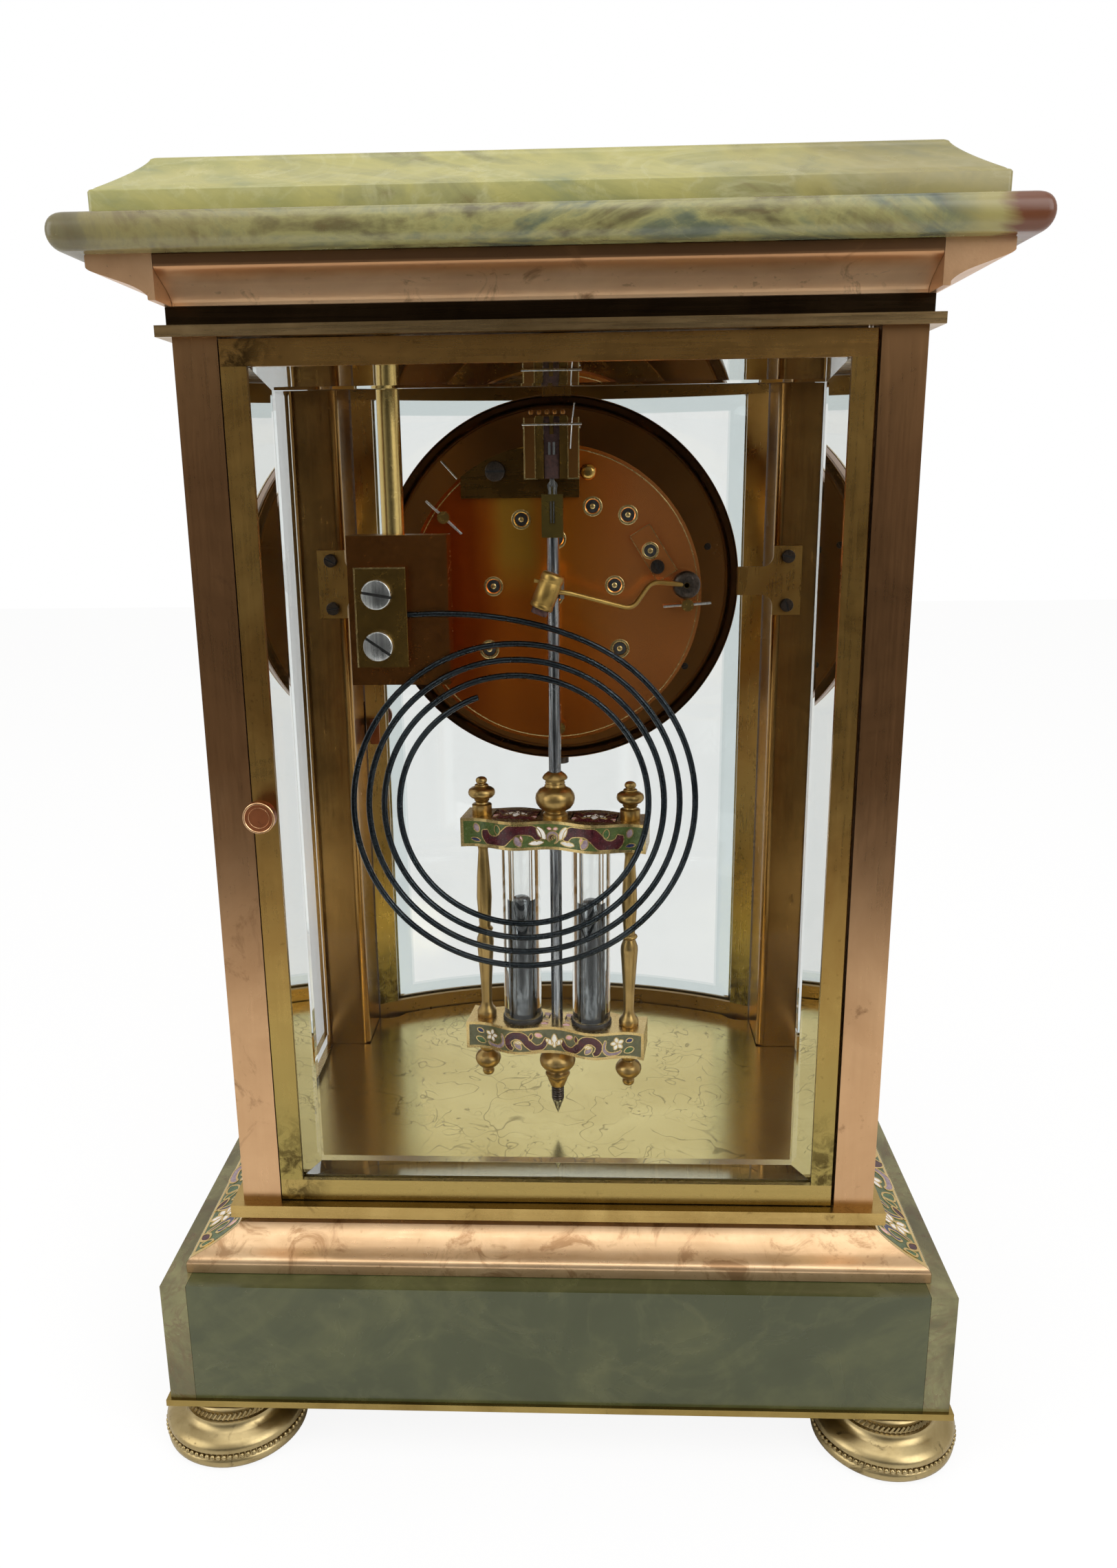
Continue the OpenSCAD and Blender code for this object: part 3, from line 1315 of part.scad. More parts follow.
// A turned column through both plates with a finial at each end, and the knop over the upper plate
column_h = vial_show;
module finial_outline(h, r)
    polygon([[0, 0], [r * 0.76, 0], [r * 0.76, h * 0.22], [r * 0.48, h * 0.27], [r * 0.55, h * 0.33],
        [r * 0.92, h * 0.42], [r, h * 0.52], [r * 0.86, h * 0.63], [r * 0.42, h * 0.71], [r * 0.36, h * 0.75],
        [r * 0.5, h * 0.8], [r * 0.52, h * 0.88], [r * 0.36, h * 0.96], [0, h]]);
module column_outline(h)
    polygon([[0, 0], [3.5, 0], [3.5, h * 0.03], [2.5, h * 0.055], [2.1, h * 0.09], [2.5, h * 0.25],
        [3.2, h * 0.4], [2.7, h * 0.445], [3.4, h * 0.46], [3.4, h * 0.485], [2.4, h * 0.5], [2.1, h * 0.515],
        [2.9, h * 0.64], [2.7, h * 0.74], [1.9, h * 0.92], [2.9, h * 0.95], [3.1, h], [0, h]]);

module pendulum_columns()
    color(brass)
    on_rod(0, -bob_turn) {
        for (s = [-1, 1]) translate([s * column_x, 0, 0]) {
            translate([0, 0, bob_low - over]) cylinder(r = column_neck_r, h = bob_top - bob_low + 2 * over);
            translate([0, 0, bob_low + bob_plate_t]) rotate_extrude()
                column_outline(column_h);
            translate([0, 0, bob_top]) rotate_extrude() finial_outline(finial_h, finial_r);
            translate([0, 0, bob_low]) mirror([0, 0, 1]) rotate_extrude() finial_outline(finial_h, finial_r);
        }
        translate([0, 0, bob_top]) rotate_extrude()
            difference() {
                polygon([[0, 0], [4.4, 0], [4.8, 1], [3.6, 2], [6.2, 4.4], [6.5, 6], [6, 7.6], [3.6, 10],
                    [4.2, 11.4], [4.1, 13], [3, 14.4], [0, 15]]);
                square([2 * (rod_r + seat_fit), pend_len], center = true);
            }
    }

vial_h = vial_show + 2 * vial_seat - 2 * pane_fit;
vial_z = bob_low + bob_plate_t - vial_seat + pane_fit;
vial_floor = 2;
module mercury_vials()
    color(glass)
    on_rod(vial_z, -bob_turn)
        for (s = [-1, 1]) translate([s * vial_x, 0, 0])
            difference() {
                cylinder(r = vial_r, h = vial_h);
                translate([0, 0, vial_floor]) cylinder(r = vial_r - vial_wall, h = vial_h);
            }

module mercury()
    color("silver")
    on_rod(vial_z + vial_floor + seat_fit, -bob_turn)
        for (s = [-1, 1]) translate([s * vial_x, 0, 0])
            cylinder(r = vial_r - vial_wall - seat_fit, h = mercury_fill * vial_show);

nut_gap = 0.1;
module rating_nut()
    color(brass)
    on_rod(bob_low - nut_gap) mirror([0, 0, 1]) rotate_extrude()
        difference() {
            polygon([[0, 0], [nut_r * 0.55, 0], [nut_r * 0.5, 1], [nut_r * 0.92, 2.6], [nut_r, nut_h * 0.36],
                [nut_r * 0.85, nut_h * 0.55], [nut_r * 0.5, nut_h * 0.66], [nut_r * 0.66, nut_h * 0.76],
                [nut_r * 0.64, nut_h * 0.86], [nut_r * 0.44, nut_h], [0, nut_h]]);
            square([2 * (rod_r + run_fit), pend_len], center = true);
        }

// Gong
module gong_block()
    color(dark_brass) {
        difference() {
            union() {
                depth_box(block_x, [block_at, block_at + block_t], block_z);
                translate([gong_rod_x, y_at(gong_rod_at), block_z[1] - over])
                    cylinder(r = gong_rod_r, h = z_top - block_z[1] + over);
            }
            for (z = gong_screw_z)
                bar_y([gong_screw_x, z - z_dial], block_at - over, block_at + 6.4, screw_r + seat_fit);
        }
        difference() {
            depth_box(clamp_x, [clamp_at, block_at], clamp_z);
            for (z = gong_screw_z)
                bar_y([gong_screw_x, z - z_dial], clamp_at - over, block_at + over, screw_r + run_fit);
        }
    }

// The wire runs straight out of the clamp plate, bends into the first loop and winds inwards
lead_start = [clamp_x[0], lead_z];
lead_turn = 58;
lead_power = 2.6;
loop_start = 96;
lead_straight = 2 * gong_wire_r;
lead_off = lead_start - [lead_straight, 0] - gong_c;
lead_angle = atan2(lead_off.y, lead_off.x);
lead_rise = norm(lead_off) - gong_r - gong_pitch * (loop_start - lead_angle) / 360;
function loop_point(a) =
    let (s = (a - loop_start) / 360,
        e = a < lead_angle + lead_turn ? pow(1 - (a - lead_angle) / lead_turn, lead_power) : 0)
    gong_c + polar(a, gong_r - gong_pitch * s + lead_rise * e);
gong_end = loop_start + 360 * gong_turns;
gong_count = ceil((gong_end - lead_angle) * gong_rings / 360);
gong_path = concat([lead_start],
    [for (i = [0 : gong_count]) loop_point(lead_angle + (gong_end - lead_angle) * i / gong_count)]);
gong_last = len(gong_path) - 1;
function path_dir(i) =
    let (v = i == 0 ? [-1, 0] : gong_path[min(i + 1, gong_last)] - gong_path[i - 1]) v / norm(v);
function wire_ring(i) =
    let (d = path_dir(i), side = [-d.y, d.x])
    [for (k = [0 : gong_sides - 1]) let (u = 360 * k / gong_sides,
        q = gong_path[i] + side * gong_wire_r * cos(u))
        [q.x, y_at(gong_at) + gong_wire_r * sin(u), q.y]];
gong_gap = min([for (i = [0 : gong_last]) for (k = [i + gong_rings / 2 : gong_last])
    norm(gong_path[i] - gong_path[k])]) - 2 * gong_wire_r;
echo(least_gap_between_gong_loops = gong_gap);
module gong_coil() color(steel) skin([for (i = [0 : gong_last]) wire_ring(i)]);

feet();
base_plate();
base_panel_rear();
base_panel_sides();
base_panel_front();
base_moulding();
base_moulding_rear();
case_bottom_frame();
floor_plate();
rear_posts();
front_posts();
side_glasses();
rear_door_stiles();
rear_door_rails();
rear_door_glass();
rear_door_knob();
front_door_stiles();
front_door_rails();
front_door_glass();
front_door_knob();
door_pins();
case_top_frame();
cornice();
cornice_rear();
top_slab();
top_cap();
case_screws();
movement_ring();
ring_brackets();
back_plate();
front_plate();
plate_pillars();
taper_pins();
dial();
bezel();
minute_hand();
hour_hand();
minute_wheel();
going_barrel();
intermediate_wheel();
centre_wheel();
third_wheel();
escape_wheel();
crutch();
strike_barrel();
strike_second_wheel();
strike_pin_wheel();
strike_third_wheel();
fly();
hammer();
suspension_bracket();
suspension_spring();
pendulum_rod();
pendulum_plates();
pendulum_columns();
mercury_vials();
mercury();
rating_nut();
gong_block();
gong_coil();
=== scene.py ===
"""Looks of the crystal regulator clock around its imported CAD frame. Lengths below are in millimetres."""

from bisect import bisect_right
from math import acos, asin, copysign, cos, hypot, pi, radians, sin, sqrt

import bpy
from mathutils import Matrix, Vector


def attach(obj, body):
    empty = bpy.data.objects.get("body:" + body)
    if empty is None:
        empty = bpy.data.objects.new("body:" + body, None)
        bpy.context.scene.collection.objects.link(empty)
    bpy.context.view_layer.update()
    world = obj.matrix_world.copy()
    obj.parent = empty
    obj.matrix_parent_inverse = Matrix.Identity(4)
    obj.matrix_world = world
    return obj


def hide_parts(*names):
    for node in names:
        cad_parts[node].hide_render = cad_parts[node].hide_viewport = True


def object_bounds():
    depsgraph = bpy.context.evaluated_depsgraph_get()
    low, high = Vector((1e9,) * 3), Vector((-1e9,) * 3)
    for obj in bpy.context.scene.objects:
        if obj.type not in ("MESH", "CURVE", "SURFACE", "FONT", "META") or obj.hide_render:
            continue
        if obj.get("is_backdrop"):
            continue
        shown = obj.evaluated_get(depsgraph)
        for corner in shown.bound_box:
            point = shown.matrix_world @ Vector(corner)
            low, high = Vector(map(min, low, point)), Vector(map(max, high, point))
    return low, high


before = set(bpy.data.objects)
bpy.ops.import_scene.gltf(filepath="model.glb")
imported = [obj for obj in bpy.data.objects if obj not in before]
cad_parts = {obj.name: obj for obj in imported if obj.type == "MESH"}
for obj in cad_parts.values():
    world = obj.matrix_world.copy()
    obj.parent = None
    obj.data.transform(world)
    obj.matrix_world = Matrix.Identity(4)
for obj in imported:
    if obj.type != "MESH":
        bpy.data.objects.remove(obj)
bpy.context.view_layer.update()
MM = 0.001

# Sizes repeated from the CAD source
HALF_W = 99.0
REAR_Y = 74.5
SETBACK = 3.0
BOW_R = 163.0
BOW_Y = 83.5
Z_DIAL = 263.2
Z_CORNICE, Z_SLAB, Z_CAP, Z_TOP = 344.0, 355.0, 364.0, 380.3
Z_MOULD = 60.4
BOB_Y = 30.5
BOB_TURN = -8.0
BOB_TIERS = ((110.8, 120.4), (183.0, 192.6))
GONG_AT, GONG_R, GONG_STEP = (10.5, 48.5, 200.8), 55.4, 4.8
GONG_FROM, GONG_TO = 62.8, 1510.8
COLUMN_X, VIAL_X = 24.5, 11.8
PLATE_Y = REAR_Y - 52.3
RING_Y = REAR_Y - 105.5
DIAL_Y = REAR_Y - 115.1

# Camera: place, then yaw, pitch and roll in degrees. Lamps: name, place and size in metres, watts.
CAMERA_AT, CAMERA_TURN = (-10.8, 402.3, 298.3), (-2.363, 14.318, 0.710)
LAMPS = (("key", (-0.75, 0.75, 0.85), (0.7, 0.9), 6), ("fill", (0.9, 0.55, 0.6), (0.6, 0.9), 4),
         ("top", (0.0, 0.3, 1.3), (1.0, 0.8), 4))
LAMP_AIM = Vector((0, 0, 0.2))
GLASS_INDEX, FLAT_INDEX = 1.5, 1.1


# ---- node trees ----

def linear(r, g, b):
    """A colour of 0 to 255 sRGB in the linear form that the shaders take."""
    return (*[c / 3294.6 if c <= 10.31 else ((c / 255 + 0.055) / 1.055) ** 2.4 for c in (r, g, b)], 1.0)


class Graph:
    """A node tree with short ways to add nodes. Colours are sRGB triples of 0 to 255, or linear RGBA."""

    def __init__(self, tree):
        self.tree = tree

    def put(self, socket, value):
        if isinstance(value, bpy.types.NodeSocket):
            self.tree.links.new(value, socket)
        elif socket.type == "RGBA" and len(value) == 3:
            socket.default_value = linear(*value)
        else:
            socket.default_value = value

    def node(self, kind, values=None, **props):
        n = self.tree.nodes.new("ShaderNode" + kind)
        for key, value in props.items():
            setattr(n, key, value)
        for key, value in (values or {}).items():
            self.put(n.inputs[key], value)
        return n

    def math(self, op, a, b=0.0):
        return self.node("Math", {0: a, 1: b}, operation=op).outputs[0]

    def plus(self, a, b):
        return self.math("ADD", a, b)

    def minus(self, a, b):
        return self.math("SUBTRACT", a, b)

    def times(self, a, b):
        return self.math("MULTIPLY", a, b)

    def most(self, a, b):
        return self.math("MAXIMUM", a, b)

    def span(self, value, low, high, to_low=0.0, to_high=1.0, kind="LINEAR"):
        values = {"Value": value, "From Min": low, "From Max": high, "To Min": to_low, "To Max": to_high}
        return self.node("MapRange", values, interpolation_type=kind).outputs["Result"]

    def split(self, vector):
        return self.node("SeparateXYZ", {"Vector": vector}).outputs

    def share(self, fac, a, b):
        return self.node("MixShader", {0: fac, 1: a, 2: b}).outputs[0]


class Mat(Graph):
    """A procedural material; its textures are measured in the clock's own frame, in metres."""

    def __init__(self, name):
        self.m = bpy.data.materials.new(name)
        self.m.use_nodes = True
        super().__init__(self.m.node_tree)
        self.bsdf = self.tree.nodes["Principled BSDF"]
        self.pos = self.node("TexCoord").outputs["Object"]

    def set(self, **values):
        for key, value in values.items():
            self.put(self.bsdf.inputs[key.replace("_", " ")], value)
        return self.m

    def finish(self, colour, wear, rough, metallic=0.0, **more):
        """Sets the colour, and a roughness between two values that follows a texture of wear."""
        return self.set(Base_Color=colour, Metallic=metallic, Roughness=self.span(wear, 0.3, 0.7, *rough), **more)

    def noise(self, scale, detail=4, rough=0.55, distort=0.0, stretch=(1, 1, 1), shift=(0, 0, 0)):
        at = self.node("Mapping", {"Vector": self.pos, "Scale": stretch, "Location": shift}).outputs[0]
        values = {"Vector": at, "Scale": scale, "Detail": detail, "Roughness": rough, "Distortion": distort}
        return self.node("TexNoise", values).outputs["Fac"]

    def ramp(self, fac, *stops):
        n = self.node("ValToRGB", {"Fac": fac})
        marks = n.color_ramp.elements
        while len(marks) < len(stops):
            marks.new(0.5)
        for mark, (at, colour) in zip(marks, stops):
            mark.position = at
            mark.color = linear(*colour) if isinstance(colour, tuple) else (colour, colour, colour, 1)
        return n.outputs["Color"]

    def mix(self, fac, a, b):
        return self.node("Mix", {0: fac, 6: a, 7: b}, data_type="RGBA", blend_type="MIX").outputs[2]

    def tone(self, fac, low, high, light, dark):
        return self.mix(self.ramp(fac, (low, 0.0), (high, 1.0)), light, dark)

    def axis(self, name):
        return self.split(self.pos)[name]

    def bump(self, height, strength, distance=0.0005):
        values = {"Height": height, "Strength": strength, "Distance": distance}
        self.put(self.bsdf.inputs["Normal"], self.node("Bump", values).outputs[0])


# ---- camera, light and floor ----

def linked(name, data):
    obj = bpy.data.objects.new(name, data)
    bpy.context.scene.collection.objects.link(obj)
    return obj


def place_camera():
    yaw, pitch, roll = (radians(a) for a in CAMERA_TURN)
    ahead = Vector((sin(yaw) * cos(pitch), cos(yaw) * cos(pitch), -sin(pitch)))
    right = Vector((cos(yaw), -sin(yaw), 0))
    down = ahead.cross(right)
    x_axis = cos(roll) * right + sin(roll) * down
    y_axis = sin(roll) * right - cos(roll) * down
    half_turn = Matrix.Rotation(pi, 3, "Z")
    pose = Matrix([half_turn @ v for v in (x_axis, y_axis, -ahead)]).transposed().to_4x4()
    pose.translation = Vector(CAMERA_AT) * MM
    data = bpy.data.cameras.new("camera")
    data.lens, data.sensor_width, data.shift_x, data.clip_start = 27.118, 36, 0.0111, 0.01
    cam = linked("camera", data)
    cam.matrix_world = pose
    bpy.context.scene.camera = cam


def white_share(g, y, edge):
    """1 where the background is seen by the camera, or through glass and on the dial's side of Y = edge."""
    rays = g.node("LightPath").outputs
    return g.most(rays["Is Camera Ray"], g.times(g.math("LESS_THAN", y, edge), rays["Is Transmission Ray"]))


def make_world():
    """A white background; as light, a room that is bright at the sides and dim behind the camera."""
    world = bpy.data.worlds.new("studio")
    world.use_nodes = True
    world.node_tree.nodes.clear()
    g = Graph(world.node_tree)
    x, y, z = g.split(g.node("TexCoord").outputs["Generated"])

    def fade(value, *ends):
        return g.span(value, *ends, kind="SMOOTHSTEP")

    level = g.most(fade(y, 0.62, 0.93, 0.85, 0.18), fade(z, -0.55, -0.4, 0.55, 0.0))
    figure = g.times(fade(g.math("ABSOLUTE", x), 0.2, 0.34, 0.75, 0.0), fade(y, 0.6, 0.85, 0.0, 1.0))
    figure = g.times(figure, fade(z, 0.05, 0.15, 1.0, 0.0))
    strength = g.times(level, g.minus(1.0, figure))
    room = g.node("Background", {"Color": (1, 0.985, 0.96, 1), "Strength": strength}).outputs[0]
    white = g.node("Background", {"Color": (1, 1, 1, 1)}).outputs[0]
    g.node("OutputWorld", {"Surface": g.share(white_share(g, y, 0.0), room, white)})
    bpy.context.scene.world = world


def make_lamp(name, at, size, power):
    data = bpy.data.lights.new(name, "AREA")
    data.shape = "RECTANGLE"
    data.size, data.size_y = size
    data.energy = power
    lamp = linked(name, data)
    lamp.location = Vector(at)
    lamp.rotation_mode = "QUATERNION"
    lamp.rotation_quaternion = (LAMP_AIM - Vector(at)).to_track_quat("-Z", "Y")


def make_floor():
    mesh = bpy.data.meshes.new("floor")
    x, back, front = 2.2, -2.6, 0.5
    mesh.from_pydata([(-x, back, 0), (x, back, 0), (x, front, 0), (-x, front, 0)], [], [(0, 1, 2, 3)])
    m = Mat("floor_white")
    mesh.materials.append(m.set(Base_Color=(0.9, 0.9, 0.9, 1), Roughness=0.9, Specular_IOR_Level=0.1))
    y = m.split(m.node("NewGeometry").outputs["Position"])["Y"]
    glow = m.share(m.times(white_share(m, y, 0.1), 0.9), m.bsdf.outputs[0], m.node("Emission").outputs[0])
    m.put(m.tree.nodes["Material Output"].inputs["Surface"], glow)
    linked("floor", mesh)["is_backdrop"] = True


place_camera()
make_world()
for lamp in LAMPS:
    make_lamp(*lamp)
make_floor()
bpy.context.scene.view_settings.view_transform = "Standard"


# ---- materials ----

def metal(name, light, dark, stain, rough=(0.2, 0.36), size=28, grain=(1, 1, 1), stained=0.6, spots=0.0,
          tint=(), wave=0.04, metallic=1.0, grimy=None):
    """Worn metal: cloudy tarnish, fine brushing along a grain, dark stains and specks, and colour bands along an
    axis, which some finishes use as painted shade and painted reflection.
    """
    m = Mat(name)
    cloud = m.noise(size, 6, 0.62, 0.6)
    brush = m.noise(900, 3, 0.6, 0, grain)
    colour = m.tone(cloud, 0.34, 0.72, light, dark)
    colour = m.mix(m.span(brush, 0.3, 0.75, 0.0, 0.1), colour, dark)
    # Colour bands along an axis: on the posts and the rear cornice these are painted shade and painted reflection.
    for axis, low, high, shade, wander in tint:
        place = m.plus(m.axis(axis), m.span(cloud, 0.2, 0.8, -wander * MM, wander * MM))
        colour = m.mix(m.span(place, low * MM, high * MM), colour, shade)
    patch = m.noise(size * 2.3, 8, 0.7, 1.2, shift=(3.1, 1.7, 0.4))
    colour = m.mix(m.ramp(patch, (stained, 0.0), (stained + 0.1, 0.75)), colour, stain)
    if spots:
        speck = m.noise(420, 2, 0.5, shift=(0.3, 5.2, 1.1))
        where = m.times(m.ramp(speck, (0.66, 0.0), (0.72, 1.0)), m.ramp(cloud, (0.42, 0.0), (0.62, spots)))
        if grimy:
            axis, low, high = grimy
            close = m.span(m.axis(axis), low * MM, high * MM)
            smear = m.noise(210, 6, 0.7, 0.6, shift=(1.3, 0.2, 4.4))
            smear = m.times(m.ramp(smear, (0.43, 0.0), (0.58, 0.8)), close)
            where = m.most(where, smear)
        colour = m.mix(where, colour, stain)
    m.bump(m.plus(brush, m.times(cloud, 1.5)), wave)
    worn = m.plus(m.times(brush, 0.45), m.times(patch, 0.55))
    return m.finish(colour, worn, rough, metallic)


def onyx(name, clouds, vein, vein_share, ends=None, size=14, rough=(0.2, 0.3), shift=(0, 0, 0), stretch=(0.6, 1, 1),
         wander=0.05):
    """Polished banded stone: warped clouds, thin pale or brown veins and tinted ends along X."""
    m = Mat(name)
    cloud = m.noise(size, 7, 0.6, 2.4, stretch, shift)
    fine = m.noise(size * 5, 5, 0.65, 1.0, stretch, (shift[0] + 2, shift[1], shift[2]))
    body = m.plus(m.times(cloud, 0.8), m.times(fine, 0.2))
    colour = m.ramp(body, *clouds)
    line = m.noise(size * 1.7, 6, 0.55, 3.2, stretch, (shift[0], shift[1] + 4, shift[2]))
    line = m.math("ABSOLUTE", m.minus(line, 0.5))
    where = m.times(m.ramp(line, (0.0, 1.0), (0.045, 0.0)), m.span(fine, 0.3, 0.7, 0.0, vein_share))
    colour = m.mix(where, colour, vein)
    for low, high, shade, most in ends or ():
        place = m.plus(m.axis("X"), m.span(cloud, 0.2, 0.8, -wander, wander))
        colour = m.mix(m.span(place, low * MM, high * MM, 0.0, most), colour, shade)
    m.bump(m.noise(60, 2), 0.03)
    return m.finish(colour, fine, rough, Specular_IOR_Level=0.45)


def enamel(name, light, dark):
    m = Mat(name)
    fleck = m.noise(700, 4, 0.6)
    pit = m.noise(2600, 1, 0.5)
    colour = m.tone(fleck, 0.35, 0.7, light, dark)
    m.bump(m.plus(fleck, m.times(pit, 0.5)), 0.12, 0.0002)
    return m.finish(colour, pit, (0.12, 0.3))


def steel(name, light, dark, rough=(0.16, 0.34), grain=(1, 1, 0.05), size=60):
    m = Mat(name)
    line = m.noise(1500, 2, 0.6, 0, grain)
    cloud = m.noise(size, 5, 0.6, 0.5)
    body = m.plus(m.times(line, 0.5), m.times(cloud, 0.5))
    colour = m.tone(body, 0.38, 0.62, light, dark)
    m.bump(line, 0.08)
    return m.finish(colour, cloud, rough, 1.0)


def glass(name, clear, smudge, edge=None, bend=0.0):
    """Clear glass with faint smudges and, if asked, edges in a painted reflection colour that bend light more."""
    m = Mat(name)
    index = GLASS_INDEX
    colour = m.tone(m.noise(35, 8, 0.7, 0.8), 0.55, 0.75, clear, smudge)
    if edge:
        half, low, high, face, shade = edge
        into = m.most(m.minus(m.math("ABSOLUTE", m.axis("X")), half * MM), m.minus(m.axis("Z"), high * MM))
        into = m.most(m.most(into, m.minus(low * MM, m.axis("Z"))), 0.0)
        # Painted reflection: the bevelled edges take a greyer colour that stands in for what the bevel reflects.
        colour = m.mix(m.span(into, 0.0, 0.0003), colour, shade)
        if bend:
            index = m.span(into, 0.0, 0.0001, FLAT_INDEX, GLASS_INDEX)
            inward = m.times(m.node("NewGeometry").outputs["Backfacing"], 2.0)
            height = m.times(m.times(into, bend), m.minus(inward, 1.0))
            m.bump(m.times(height, m.math("GREATER_THAN", m.axis("Y"), face * MM)), 1.0, 1.0)
    return m.set(Base_Color=colour, Metallic=0.0, Roughness=0.0, IOR=index, Transmission_Weight=1.0)


def plain_fine(name, light, dark, rough=(0.4, 0.6), scale=300, metallic=0.0, bump=0.2):
    m = Mat(name)
    grain = m.noise(scale, 5, 0.6)
    m.bump(grain, bump, 0.0003)
    colour = m.tone(grain, 0.35, 0.7, light, dark)
    return m.finish(colour, grain, rough, metallic)


ALONG_X, ALONG_Z, EVEN = (0.04, 1, 1), (1, 1, 0.04), (1, 1, 1)
COPPER = metal("copper_moulding", (222, 190, 150), (186, 150, 110), (154, 116, 78), (0.24, 0.38), 30, (0.12, 1, 1),
               0.53, 0.6, metallic=0.8)
# Painted light: the rear cornice is a paler copy of the side cornice's copper, standing in for the white floor
# reflected in its lower cove, and two darker bands above Z 348.4 are painted shade under the slab.
REAR_CORNICE_PAINTED_LIGHT = metal("copper_cornice_rear_painted_light", (250, 214, 170), (232, 192, 148), (128, 92, 60), (0.26, 0.38), 24,
                       (0.15, 1, 1), 0.6, 0.4, (("Z", 348.4, 350.6, (176, 132, 92), 0.5),
                                                ("Z", 351.6, 352.6, (112, 80, 52), 0.2)), metallic=0.8)
COPPER_SIDE = metal("copper_cornice_side", (218, 176, 134), (188, 144, 104), (122, 86, 54), (0.24, 0.38), 22,
                    (1, 0.04, 1), 0.63, metallic=0.8)
# Painted reflection and shade: the posts stay lighter low down, where the white floor reflects, darken above Z 130 to
# 215, and turn a little lighter again at the very top.
POST = metal("copper_post", (198, 160, 120), (170, 132, 94), (118, 86, 58), (0.24, 0.36), 14, ALONG_Z, 0.6, 0.3,
             (("Z", 130, 215, (146, 106, 70), 16), ("Z", 300, 336, (170, 128, 86), 8)), 0.03)
STILE = metal("brass_stile", (186, 148, 82), (154, 114, 58), (48, 34, 16), (0.22, 0.36), 26, ALONG_Z, 0.68, 0.3,
              (("Z", 190, 100, (146, 130, 74), 12),), 0.02, grimy=("Z", 112, 92))
RAIL = metal("brass_rail", (192, 148, 84), (164, 122, 66), (48, 34, 16), (0.2, 0.34), 26, ALONG_X, 0.68, 0.3,
             (("Z", 110, 90, (158, 136, 80), 0),), 0.02, grimy=("X", 70, 80))
FRONT_RAIL = metal("brass_front_rail", (158, 124, 68), (130, 98, 50), (84, 60, 30), (0.24, 0.34), 20, ALONG_X, 0.74,
                   wave=0.01)
KNOB = metal("copper_knob", (190, 118, 78), (164, 96, 60), (92, 56, 34), (0.24, 0.36), 60, EVEN, 0.68, wave=0.01)
# Painted highlight: the knob's rim and ring are a paler copper that stands in for its lit edge.
KNOB_RIM_HIGHLIGHT = metal("copper_knob_painted_highlight", (226, 184, 140), (198, 154, 110), (130, 92, 60), (0.2, 0.3), 60, EVEN, 0.7,
                  wave=0.01)
FRAME_LOW = metal("brass_lip", (186, 158, 98), (150, 122, 68), (70, 50, 26), (0.2, 0.34), 30, ALONG_X, 0.6)
FRONT_POST = metal("brass_front_post", (172, 132, 74), (134, 98, 50), (56, 38, 16), (0.16, 0.3), 20, ALONG_Z, 0.64)
BASE_BRASS = metal("brass_base_plate", (164, 142, 84), (130, 108, 58), (70, 52, 26), (0.2, 0.32), 30, ALONG_X, 0.64)
FOOT = metal("antique_brass_foot", (176, 158, 116), (138, 120, 80), (50, 38, 22), (0.26, 0.4), 50, EVEN, 0.58, 0.6)
RING = metal("dark_brass_ring", (158, 108, 56), (140, 94, 48), (104, 68, 36), (0.27, 0.29), 16, EVEN, 0.7, wave=0.0)
RING_RIM = metal("dark_brass_ring_rim", (96, 64, 34), (74, 46, 24), (44, 28, 16), (0.2, 0.3), 16, EVEN, 0.7,
                 wave=0.002)
COCK = metal("suspension_cock_brass", (126, 92, 44), (98, 68, 30), (60, 40, 18), (0.22, 0.34), 40, ALONG_X, 0.64,
             wave=0.006)
BRASS = metal("movement_brass", (206, 170, 96), (168, 130, 66), (92, 66, 34), (0.18, 0.32), 50, EVEN, 0.64)
DULL_BRASS = metal("dull_hammer_brass", (166, 136, 76), (130, 102, 52), (84, 60, 30), (0.32, 0.44), 80, EVEN, 0.64,
                   wave=0.01)
BLOCK = metal("gong_block_copper", (158, 102, 50), (136, 84, 38), (100, 60, 26), (0.2, 0.3), 34, EVEN, 0.64, 0,
              (("Z", 283.5, 284.0, (206, 178, 112), 0),), 0.008)
CLAMP = metal("clamp_plate_brass", (158, 124, 62), (134, 102, 50), (94, 68, 32), (0.2, 0.3), 60, EVEN, 0.64,
              wave=0.008)
TURNED = metal("turned_gilt_brass", (174, 144, 90), (138, 112, 64), (84, 62, 34), (0.28, 0.4), 70, EVEN, 0.66,
               wave=0.006)
GILT = metal("gilt_fillet", (216, 190, 132), (190, 158, 98), (112, 86, 48), (0.2, 0.32), 90, EVEN, 0.68, wave=0.01)
STEEL = steel("bright_steel", (214, 214, 212), (158, 158, 158))
BLUE = steel("blue_black_steel", (62, 68, 72), (30, 34, 38), (0.2, 0.34), EVEN)
DARK_SCREW = steel("dark_screw", (84, 74, 66), (48, 42, 38), (0.3, 0.45), EVEN)
# Painted reflection: fine vertical light and dark streaks in the mercury's colour.
MERCURY = steel("mercury", (128, 132, 134), (44, 46, 48), (0.06, 0.2), (1, 1, 0.2), 120)
PANE_TINTS = (0.9, 0.915, 0.908, 1), (0.85, 0.87, 0.86, 1)
GLASS = glass("plate_glass", *PANE_TINTS)
# The door panes' greyer edge colours are painted reflection of their bevels.
FRONT_GLASS = glass("front_door_glass", *PANE_TINTS, (64.2, 91.1, 323.4, 0, (0.66, 0.72, 0.72, 1)))
REAR_GLASS = glass("rear_door_glass", *PANE_TINTS, (73.65, 91.55, 323.05, 70.2, (0.88, 0.9, 0.89, 1)), 0.6)
VIAL = glass("vial_glass", (0.985, 0.99, 0.985, 1), (0.95, 0.96, 0.955, 1))


